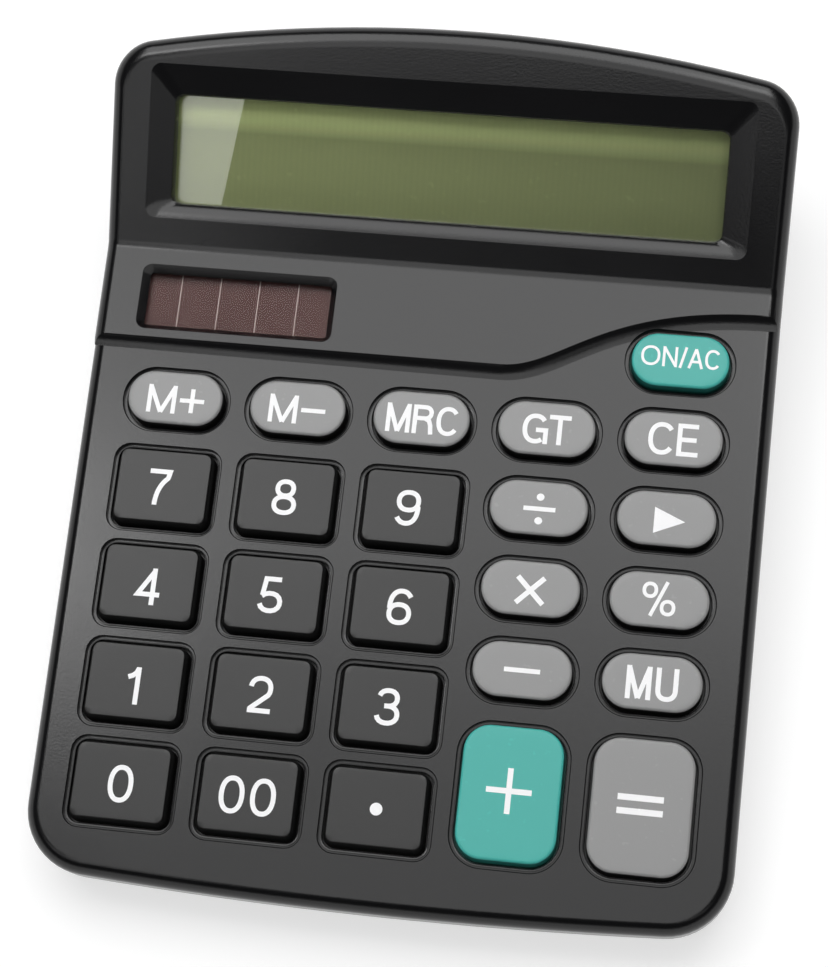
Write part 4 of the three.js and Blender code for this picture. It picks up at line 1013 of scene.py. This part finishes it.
def glyphs():
    """Each character as its width, its strokes and then its filled shapes, where it has any."""
    six = [arc(0.35, 0.315, 0.262, 0.243, 0, 360, 28), arc(0.385, 0.49, 0.297, 0.437, 186, 38, 16)]
    return {
        "0": (0.70, [arc(0.35, 0.5, 0.272, 0.43, 0, 360, 32)]),
        "1": (0.70, [[(0.15, 0.725), (0.27, 0.77), (0.36, 0.85), (0.415, 0.98)], [(0.415, 1), (0.415, 0)]]),
        "2": (0.70, [
            arc(0.345, 0.665, 0.262, 0.265, 172, -38) + [(0.09, 0.10)],
            [(0.045, 0.07), (0.655, 0.07)],
        ]),
        "3": (0.70, [
            arc(0.34, 0.725, 0.235, 0.205, 165, -90) + [(0.25, 0.52)],
            arc(0.34, 0.296, 0.268, 0.226, 90, -170),
        ]),
        "4": (0.70, [[(0.68, 0.285), (0.09, 0.285), (0.475, 0.90)], [(0.49, 1.0), (0.49, 0)]]),
        "5": (0.70, [[(0.60, 0.93), (0.19, 0.93), (0.125, 0.48)], arc(0.34, 0.305, 0.272, 0.237, 142, -166)]),
        "6": (0.70, six),
        "7": (0.70, [[(0.05, 0.93), (0.60, 0.93)] + arc(1.07, -0.02, 0.80, 0.94, 128, 179, 10)]),
        "8": (0.70, [arc(0.35, 0.735, 0.215, 0.197, 0, 360, 24), arc(0.35, 0.29, 0.268, 0.22, 0, 360, 28)]),
        "9": (0.70, [[(0.70 - x, 1 - y) for x, y in stroke] for stroke in six]),
        ".": (0.36, [], dot(0.18, 0.5, 0.165)),
        "A": (0.72, [[(0.03, 0), (0.36, 0.97)], [(0.36, 0.97), (0.69, 0)], [(0.15, 0.33), (0.57, 0.33)]]),
        "C": (0.80, [arc(0.41, 0.5, 0.33, 0.43, 38, 322, 24)]),
        "E": (0.66, [[(0.64, 0.07), (0.08, 0.07), (0.08, 0.93), (0.62, 0.93)], [(0.08, 0.51), (0.58, 0.51)]]),
        "G": (0.84, [arc(0.41, 0.5, 0.33, 0.43, 38, 308, 24), [(0.43, 0.46), (0.74, 0.46), (0.74, 0.0)]]),
        "M": (0.86, [
            [(0.08, 0), (0.08, 1)], [(0.78, 0), (0.78, 1)],
            [(0.08, 0.96), (0.43, 0.03)], [(0.78, 0.96), (0.43, 0.03)],
        ]),
        "N": (0.78, [[(0.08, 0), (0.08, 1)], [(0.09, 0.95), (0.69, 0.05)], [(0.70, 0), (0.70, 1)]]),
        "O": (1.0, [arc(0.5, 0.5, 0.42, 0.43, 0, 360, 32)]),
        "R": (0.76, [
            [(0.08, 0), (0.08, 1)], [(0.09, 0.93)] + arc(0.42, 0.735, 0.22, 0.195, 90, -90) + [(0.09, 0.54)],
            [(0.42, 0.54), (0.58, 0.47), (0.64, 0.30), (0.67, 0)],
        ]),
        "T": (0.70, [[(0.01, 0.93), (0.69, 0.93)], [(0.35, 0.93), (0.35, 0)]]),
        "U": (0.76, [[(0.08, 1)] + arc(0.38, 0.34, 0.30, 0.27, 180, 360) + [(0.68, 1)]]),
        "|": (0.36, [[(0.04, -0.02), (0.32, 1.02)]]),
        "+": (0.90, [[(0.03, 0.5), (0.87, 0.5)], [(0.45, 0.08), (0.45, 0.92)]]),
        "-": (0.90, [[(0.03, 0.5), (0.87, 0.5)]]),
        "=": (0.90, [[(0.0, 0.38), (0.9, 0.38)], [(0.0, 0.62), (0.9, 0.62)]]),
        "x": (0.90, [[(0.10, 0.15), (0.80, 0.85)], [(0.10, 0.85), (0.80, 0.15)]]),
        "/": (0.90, [[(0.0, 0.5), (0.9, 0.5)]], dot(0.45, 0.86, 0.11), dot(0.45, 0.14, 0.11)),
        "p": (0.74, [[(0.02, 0.5), (0.72, 0.5)], [(0.37, 0.07), (0.37, 0.93)]]),
        "m": (0.74, [[(0.02, 0.5), (0.72, 0.5)]]),
        "%": (0.98, [
            arc(0.23, 0.74, 0.167, 0.183, 0, 360, 20), arc(0.75, 0.26, 0.167, 0.183, 0, 360, 20),
            [(0.275, 0), (0.705, 1)],
        ]),
        ">": (0.80, [], [(0.12, 0.18), (0.76, 0.50), (0.12, 0.82)]),
    }


def stand_up(flat):
    """Gives a flat drawing its thickness, once points that belong to nothing are gone."""
    edit(flat)
    bpy.ops.mesh.select_mode(type="VERT")
    take_all()
    bpy.ops.mesh.delete_loose(use_verts=True, use_edges=False, use_faces=False)
    take_all()
    push(z=LEGEND_THICKNESS)
    return close_up(flat)


def legend(name, text, x, y):
    """The characters on a key: walls stood on their centre lines and thickened to a stroke's width."""
    table = glyphs()
    height, stretch, stroke, gap, aside, along = LEGENDS.get(text, NUMBER_LEGEND)
    points, lines, shapes = [], [], []
    start = -(sum(table[character][0] for character in text) + gap * (len(text) - 1)) / 2
    level = CAP_RISE - LEGEND_DEPTH
    for character in text:
        width, strokes, *fills = table[character]
        for outline in strokes + fills:
            filled = outline in fills
            closed = not filled and (Vector(outline[0]) - Vector(outline[-1])).length < 1e-6
            path = outline[:-1] if closed else outline
            first = len(points)
            points += [((start + px) * height * stretch, (py - 0.5) * height, level) for px, py in path]
            links = list(range(first, first + len(path)))
            if filled:
                shapes.append(links)
            else:
                lines += list(zip(links, links[1:] + links[:1] if closed else links[1:]))
            level += STROKE_STEP
        start += width + gap
    parts = []
    if lines:
        walls = stand_up(new_mesh(name, points, lines, []))
        work(walls, "stroke", "SOLIDIFY", thickness=stroke, offset=0, use_even_offset=True)
        parts.append(walls)
    if shapes:
        parts.append(stand_up(new_mesh(name, points, [], shapes)))
    letters = join(parts)
    edit(letters)
    close_up(letters)
    return place(letters, Matrix.Translation((x + aside, y + along, 0)))


def new_mesh(name, points, lines, faces):
    data = bpy.data.meshes.new(name)
    data.from_pydata(points, lines, faces)
    piece = bpy.data.objects.new(name, data)
    bpy.context.scene.collection.objects.link(piece)
    return piece


# Materials

def fill(node, **values):
    """Sets a node's inputs, by name or number, each to a plain value or to what another node gives."""
    for name, value in values.items():
        numbered = name[0] == "_" and name[1:].isdigit()
        socket = node.inputs[int(name[1:])] if numbered else node.inputs[name.replace("_", " ")]
        if isinstance(value, bpy.types.NodeSocket):
            node.id_data.links.new(value, socket)
        else:
            socket.default_value = value


def node_adder(tree):
    """Gives a tool that adds a node to a tree and fills its inputs."""
    def add(kind, settings=None, **inputs):
        node = tree.nodes.new("ShaderNode" + kind)
        for name, value in (settings or {}).items():
            setattr(node, name, value)
        fill(node, **inputs)
        return node
    return add


def reckon(add, operation, first, second):
    return add("Math", {"operation": operation}, _0=first, _1=second).outputs[0]


def ramp(add, value, low, high, start=0.0, end=1.0, kind="LINEAR"):
    """Runs from low to high while the value runs from start to end."""
    settings = {"interpolation_type": kind}
    return add("MapRange", settings, Value=value, _1=start, _2=end, _3=low, _4=high).outputs[0]


def blend(add, factor, first, second, kind="MIX"):
    """Mixes two colours, each given by a node or as three numbers."""
    node = add("Mix", {"data_type": "RGBA", "blend_type": kind}, _0=factor)
    first, second = [(*shade, 1) if isinstance(shade, tuple) else shade for shade in (first, second)]
    fill(node, _6=first, _7=second)
    return node.outputs[2]


def spot_on(add, axis=None):
    """The place on the object, or one of its coordinates."""
    spot = add("TexCoord").outputs["Object"]
    return add("SeparateXYZ", Vector=spot).outputs[axis] if axis else spot


def new_group(name, inputs, outputs):
    tree = bpy.data.node_groups.new(name, "ShaderNodeTree")
    for label, default in inputs.items():
        socket = tree.interface.new_socket(label, in_out="INPUT", socket_type="NodeSocketFloat")
        socket.default_value = default
    for label, kind in outputs.items():
        tree.interface.new_socket(label, in_out="OUTPUT", socket_type=kind)
    source = tree.nodes.new("NodeGroupInput").outputs
    return tree, node_adder(tree), source, tree.nodes.new("NodeGroupOutput")


def moulded_surface():
    """Fine grain from the mould, with slow cloudy changes of sheen and a few specks."""
    tree, add, source, sink = new_group(
        "moulded surface",
        {"Grain Size": GRAIN_SIZE, "Grain Depth": GRAIN_DEPTH, "Cloud Size": 30.0, "Speck Size": 900.0},
        {"Normal": "NodeSocketVector", "Cloud": "NodeSocketFloat", "Specks": "NodeSocketFloat"},
    )
    spot = spot_on(add)
    grain = add("TexNoise", Vector=spot, Scale=source["Grain Size"], Detail=2.0, Roughness=0.6)
    bump = add("Bump", Strength=source["Grain Depth"], Distance=0.00006, Height=grain.outputs["Fac"])
    cloud = add("TexNoise", Vector=spot, Scale=source["Cloud Size"], Detail=3.0, Roughness=0.55)
    speck = add("TexNoise", Vector=spot, Scale=source["Speck Size"], Detail=1.0)
    few = ramp(add, speck.outputs["Fac"], 0.0, 1.0, 0.68, 0.78)
    fill(sink, Normal=bump.outputs["Normal"], Cloud=cloud.outputs["Fac"], Specks=few)
    return tree


def fine_lines():
    """A mask of thin even lines across X, such as conductors."""
    inputs = {"Start": 0.0, "Pitch": 0.001, "Width": 0.1}
    tree, add, source, sink = new_group("fine lines", inputs, {"Mask": "NodeSocketFloat"})
    along = reckon(add, "SUBTRACT", spot_on(add, "X"), source["Start"])
    away = reckon(add, "PINGPONG", reckon(add, "DIVIDE", along, source["Pitch"]), 0.5)
    half = reckon(add, "MULTIPLY", source["Width"], 0.5)
    fill(sink, Mask=reckon(add, "LESS_THAN", away, half))
    return tree


def new_material(name):
    """A material, the tool that adds nodes to it, and its shader."""
    material = bpy.data.materials.new(name)
    material.use_nodes = True
    tree = material.node_tree
    return material, node_adder(tree), tree.nodes["Principled BSDF"]


def worked_finish(
    name, colour, roughness, surface,
    grain=GRAIN_DEPTH, grain_size=GRAIN_SIZE, drift=0.06, metallic=0.0, specular=0.44,
):
    """A moulded or turned finish whose colour and sheen drift a little, with what it takes to work on it."""
    material, add, shader = new_material(name)
    base = add("Group", {"node_tree": surface}, Grain_Depth=grain, Grain_Size=grain_size)
    cloud = base.outputs["Cloud"]
    tint = blend(add, 1.0, colour, ramp(add, cloud, 1 - drift, 1 + drift), "MULTIPLY")
    speckled = blend(add, base.outputs["Specks"], tint, blend(add, 1.0, tint, SPECK_TINT, "MULTIPLY"))
    rough = ramp(add, cloud, roughness - SHEEN_DRIFT, roughness + SHEEN_DRIFT)
    fill(shader, Base_Color=speckled, Roughness=rough, Normal=base.outputs["Normal"])
    fill(shader, Metallic=metallic, Specular_IOR_Level=specular)
    return material, add, shader, speckled


def finish(*look, **values):
    return worked_finish(*look, **values)[0]


def clear_window(name, ior, surface):
    """A clear moulded window: light falls through it, and its face is almost smooth."""
    material, add, shader = new_material(name)
    base = add("Group", {"node_tree": surface}, Cloud_Size=60.0)
    haze = ramp(add, base.outputs["Cloud"], 0.0, 0.008)
    fill(shader, Base_Color=(1, 1, 1, 1), Roughness=haze, IOR=ior, Transmission_Weight=1.0)
    through = add("BsdfTransparent")
    shadow = add("LightPath").outputs["Is Shadow Ray"]
    mixed = add("MixShader", _0=shadow, _1=shader.outputs[0], _2=through.outputs[0])
    fill(material.node_tree.nodes["Material Output"], Surface=mixed.outputs[0])
    return material


def display_glass(surface, lines):
    """The display: green, with painted shade that dims it to the right and towards the keys and painted light
    at its far edge, and faint upright electrodes.
    """
    material, add, shader, colour = worked_finish(
        "display green", LCD_GREEN, 0.45, surface, 0.05, drift=0.04, specular=0.2,
    )
    # Painted light and shade: the green is dimmed across and along the display and brightened at its far edge
    across = ramp(add, spot_on(add, "X"), *LCD_PAINTED_SHADE_ACROSS)
    along = ramp(add, spot_on(add, "Y"), *LCD_PAINTED_SHADE_ALONG)
    far = ramp(add, spot_on(add, "Y"), *LCD_PAINTED_LIGHT_FAR_EDGE)
    shade = reckon(add, "MULTIPLY", reckon(add, "MULTIPLY", across, along), far)
    shaded = blend(add, 1.0, colour, shade, "MULTIPLY")
    wires = add("Group", {"node_tree": lines}, Pitch=0.00105, Width=0.5)
    faint = reckon(add, "MULTIPLY", wires.outputs["Mask"], 0.03)
    fill(shader, Base_Color=blend(add, faint, shaded, (0.02, 0.03, 0.02)))
    return material


def solar_brown(surface, lines):
    """Amorphous cells: purple-brown strips parted by thin pale lines."""
    material, add, shader, colour = worked_finish(
        "solar brown", SOLAR_BROWN, 0.4, surface, 0.05, drift=0.12, specular=0.05,
    )
    gaps = add("Group", {"node_tree": lines}, Start=-0.0444, Pitch=0.0068, Width=0.026)
    weak = reckon(add, "MULTIPLY", gaps.outputs["Mask"], 0.75)
    fill(shader, Base_Color=blend(add, weak, colour, (0.42, 0.36, 0.34)))
    return material


def board_laminate(surface, lines):
    """Solder mask with copper runs under it and tinned pads."""
    material, add, shader, colour = worked_finish("board laminate", (0.02, 0.09, 0.04), 0.4, surface, 0.1)
    runs = add("Group", {"node_tree": lines}, Pitch=0.0016, Width=0.3)
    spot = spot_on(add)
    breaks = add("TexNoise", Vector=spot, Scale=90.0, Detail=0.0)
    kept = reckon(add, "GREATER_THAN", breaks.outputs["Fac"], 0.5)
    traced = blend(add, reckon(add, "MULTIPLY", runs.outputs["Mask"], kept), colour, (0.05, 0.2, 0.09))
    cells = add("TexVoronoi", Vector=spot, Scale=160.0)
    pads = reckon(add, "LESS_THAN", cells.outputs["Distance"], 0.14)
    fill(shader, Base_Color=blend(add, pads, traced, (0.6, 0.58, 0.52)), Metallic=pads)
    return material


def ribbon_film(surface, lines):
    """Amber film with dark printed conductors along it."""
    material, add, shader, colour = worked_finish("ribbon film", (0.42, 0.22, 0.07), 0.3, surface, 0.05)
    tracks = add("Group", {"node_tree": lines}, Pitch=0.001, Width=0.5)
    fill(shader, Base_Color=blend(add, tracks.outputs["Mask"], colour, (0.08, 0.04, 0.02)))
    return material


def banded(name, colour, bands, surface):
    """A sleeve with bands along X, each with its start and end in millimetres, colour, and if it is metal."""
    material, add, shader, tint = worked_finish(name, colour, 0.32, surface, 0.08)
    x = spot_on(add, "X")
    metal = 0.0
    for start, end, shade, metallic in bands:
        after = reckon(add, "GREATER_THAN", x, start * MM)
        before = reckon(add, "LESS_THAN", x, end * MM)
        inside = reckon(add, "MULTIPLY", after, before)
        tint = blend(add, inside, tint, shade)
        if metallic:
            metal = reckon(add, "MAXIMUM", metal, inside)
    fill(shader, Base_Color=tint, Metallic=metal)
    return material


def add_keys(finishes, skirts_and_painted_shade, ink):
    made = {kind: key_cap(kind) for kind in KINDS}
    for node, kind, x, y, text, slot in key_places():
        cap = copy_of(made[kind], node.replace("key_", "cap_"), (x, y, 0))
        cap.data.materials.append(finishes[slot])
        # Faces below the rounded top edge take the skirt colour, which on the teal keys is painted shade
        if slot in skirts_and_painted_shade:
            cap.data.materials.append(skirts_and_painted_shade[slot])
            rim = CAP_RISE - KINDS[kind][4] - NEAR
            for face in cap.data.polygons:
                low = min(cap.data.vertices[index].co.z for index in face.vertices)
                face.material_index = 0 if low > rim else 1
        finish_piece(cap, node, finishes[slot], (node,))
        letters = legend(node.replace("key_", "legend_"), text, x, y)
        finish_piece(letters, node, ink)
    for piece in made.values():
        bpy.data.objects.remove(piece)


def keypad(material):
    """The rubber sheet under the keys, with a dome for each key."""
    low, high = (-SHEET_SIDE, SHEET_FRONT_Y, SHEET_BOTTOM), (SHEET_SIDE, SHEET_REAR_Y, SHEET_TOP)
    sheet = block("keypad_sheet", low, high)
    round_over(sheet, SHEET_CORNER, 4, lambda e: abs(e.verts[0].co.z - e.verts[1].co.z) > 0.1)
    for screw in BOARD_SCREWS:
        low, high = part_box(screw)
        boss = DECK.inverted() @ ((low + high) / 2)
        hole = rod("boss_hole", boss.x, boss.y, BOSS_HOLE_RADIUS, SHEET_BOTTOM - WALL, SHEET_TOP + WALL)
        combine(sheet, hole)
    finish_piece(sheet, "case", material, ("keypad_membrane",))
    share = DOME_TOP_RADIUS / DOME_BASE_RADIUS
    for node, _, x, y, _, _ in key_places():
        dome = rod(node.replace("key_", "dome_"), x, y, DOME_BASE_RADIUS, SHEET_TOP - DOME_ROOT, DOME_TOP)
        edit(dome)
        pick(dome, "FACE", lambda f: f.normal.z > FACING)
        bpy.ops.transform.resize(value=(share, share, 1), center_override=(x, y, DOME_TOP))
        leave_edit()
        round_over(dome, DOME_EDGE, 3, lambda e: min(v.co.z for v in e.verts) > DOME_TOP - NEAR)
        finish_piece(dome, "case", material)
        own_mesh(dome)


def lamp(name, place_at, turns, size, radiance):
    """A soft light: its power follows from how bright its face is."""
    data = bpy.data.lights.new(name, "AREA")
    data.shape = "RECTANGLE"
    data.size, data.size_y = size
    data.energy = radiance * size[0] * size[1] * pi
    light = bpy.data.objects.new(name, data)
    bpy.context.scene.collection.objects.link(light)
    light.location = place_at
    light.rotation_euler = [radians(angle) for angle in turns]


def seen_directly(add):
    """One where the camera, a reflection or a view through glass looks, and nought for light that falls."""
    path = add("LightPath").outputs
    view = reckon(add, "MAXIMUM", path["Is Camera Ray"], path["Is Glossy Ray"])
    return reckon(add, "MAXIMUM", view, path["Is Transmission Ray"])


def studio():
    scene = bpy.context.scene
    scene.view_settings.view_transform = "Standard"
    select_none()
    bpy.ops.mesh.primitive_plane_add(size=4.0, location=(0, 0, 0))
    floor = named("floor")
    material, add, _ = new_material("floor paper")
    paper = add("BsdfDiffuse", Color=(0.5, 0.5, 0.5, 1))
    glow = add("Emission", Color=(FLOOR_GLOW, FLOOR_GLOW, FLOOR_GLOW, 1), Strength=seen_directly(add))
    both = add("AddShader", _0=paper.outputs[0], _1=glow.outputs[0])
    fill(material.node_tree.nodes["Material Output"], Surface=both.outputs[0])
    floor.data.materials.append(material)
    world = bpy.data.worlds.new("studio")
    scene.world = world
    world.use_nodes = True
    add = node_adder(world.node_tree)
    height = add("SeparateXYZ", Vector=add("TexCoord").outputs["Generated"]).outputs["Z"]
    level = ramp(add, height, 1.0, CEILING_LEVEL, *WALL_TOP, "SMOOTHSTEP")
    fill(world.node_tree.nodes["Background"], Color=(1, 1, 1, 1), Strength=level)
    for name, light in LIGHTS.items():
        lamp(name, *light)
    camera = bpy.data.objects.new("camera", bpy.data.cameras.new("camera"))
    scene.collection.objects.link(camera)
    camera.location = CAMERA_PLACE
    camera.rotation_euler = [radians(angle) for angle in CAMERA_TURN]
    camera.data.lens = CAMERA_LENS
    camera.data.sensor_width = CAMERA_SENSOR
    camera.data.clip_start = 0.01
    scene.camera = camera


def build():
    surface = moulded_surface()
    lines = fine_lines()
    case_black = finish("case black", (0.0035, 0.0035, 0.004), 0.2, surface)
    finishes = {
        "key_black": finish("key black", (0.005, 0.005, 0.005), 0.34, surface, 0.12),
        "key_grey": finish("key grey", (0.25, 0.25, 0.25), 0.42, surface, 0.1, drift=0.03, specular=0.66),
        "key_teal": finish("key teal", (0.052, 0.42, 0.37), 0.42, surface, 0.1, drift=0.03),
    }
    # Skirt colours: black under the grey keys, and under the teal keys a darker teal that is painted shade
    # from the narrow gap round the cap
    skirts_and_painted_shade = {
        "key_grey": finish("key skirt black", (0.004, 0.004, 0.004), 0.35, surface, 0.1),
        "key_teal": finish("key skirt teal", (0.014, 0.13, 0.112), 0.42, surface, 0.1),
    }
    ink = finish("legend white", (0.96, 0.96, 0.97), 0.5, surface, 0.05, drift=0.02)
    rubber = finish("foot rubber", (0.018, 0.018, 0.018), 0.8, surface, 0.5, 1500.0)
    sheet = finish("keypad rubber", (0.30, 0.31, 0.32), 0.75, surface, 0.4, 1800.0)
    steel = finish("plated steel", METAL_GREY, 0.28, surface, 0.3, 900.0, metallic=1.0)
    resin = finish("black resin", (0.008, 0.008, 0.009), 0.25, surface, 0.6, 300.0)
    sleeve = banded("capacitor sleeve", (0.01, 0.012, 0.03), (
        (41.6, 42.0, (0.5, 0.5, 0.48), False), (37.4, 38.0, METAL_GREY, True),
    ), surface)
    wrap = banded("cell wrap", (0.012, 0.05, 0.16), (
        (14.0, 24.6, (0.55, 0.53, 0.48), False), (24.6, 40.0, METAL_GREY, True),
        (-40.0, -22.4, METAL_GREY, True), (12.6, 14.0, (0.75, 0.75, 0.75), False),
    ), surface)
    top_cover(case_black)
    bottom_cover(case_black)
    battery_door(case_black)
    for side in ("front_left", "front_right", "rear_left", "rear_right"):
        low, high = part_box("foot_" + side)
        x, y = (low.x + high.x) / 2 / MM, (low.y + high.y) / 2 / MM - deck_front_y
        foot("pad_" + side, x, y, rubber)
    for number, (x, y) in enumerate(CASE_SCREWS, 1):
        case_screw(f"cover_screw_{number}", f"case_screw_{number}", x, y, steel)
    battery_cell(wrap)
    add_keys(finishes, skirts_and_painted_shade, ink)
    keypad(sheet)
    looks = {
        "display_window": clear_window("display window clear", 1.58, surface),
        "solar_window": clear_window("solar window clear", 1.12, surface),
        "lcd_panel": display_glass(surface, lines),
        "solar_cell": solar_brown(surface, lines),
        "circuit_board": board_laminate(surface, lines),
        "display_ribbon": ribbon_film(surface, lines),
        "controller_chip": resin,
        "capacitor": sleeve,
    }
    looks.update({name: steel for name in ["contact_spring", "contact_plate", *BOARD_SCREWS]})
    for name, material in looks.items():
        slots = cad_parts[name].data.materials
        slots.clear()
        slots.append(material)


build()
studio()
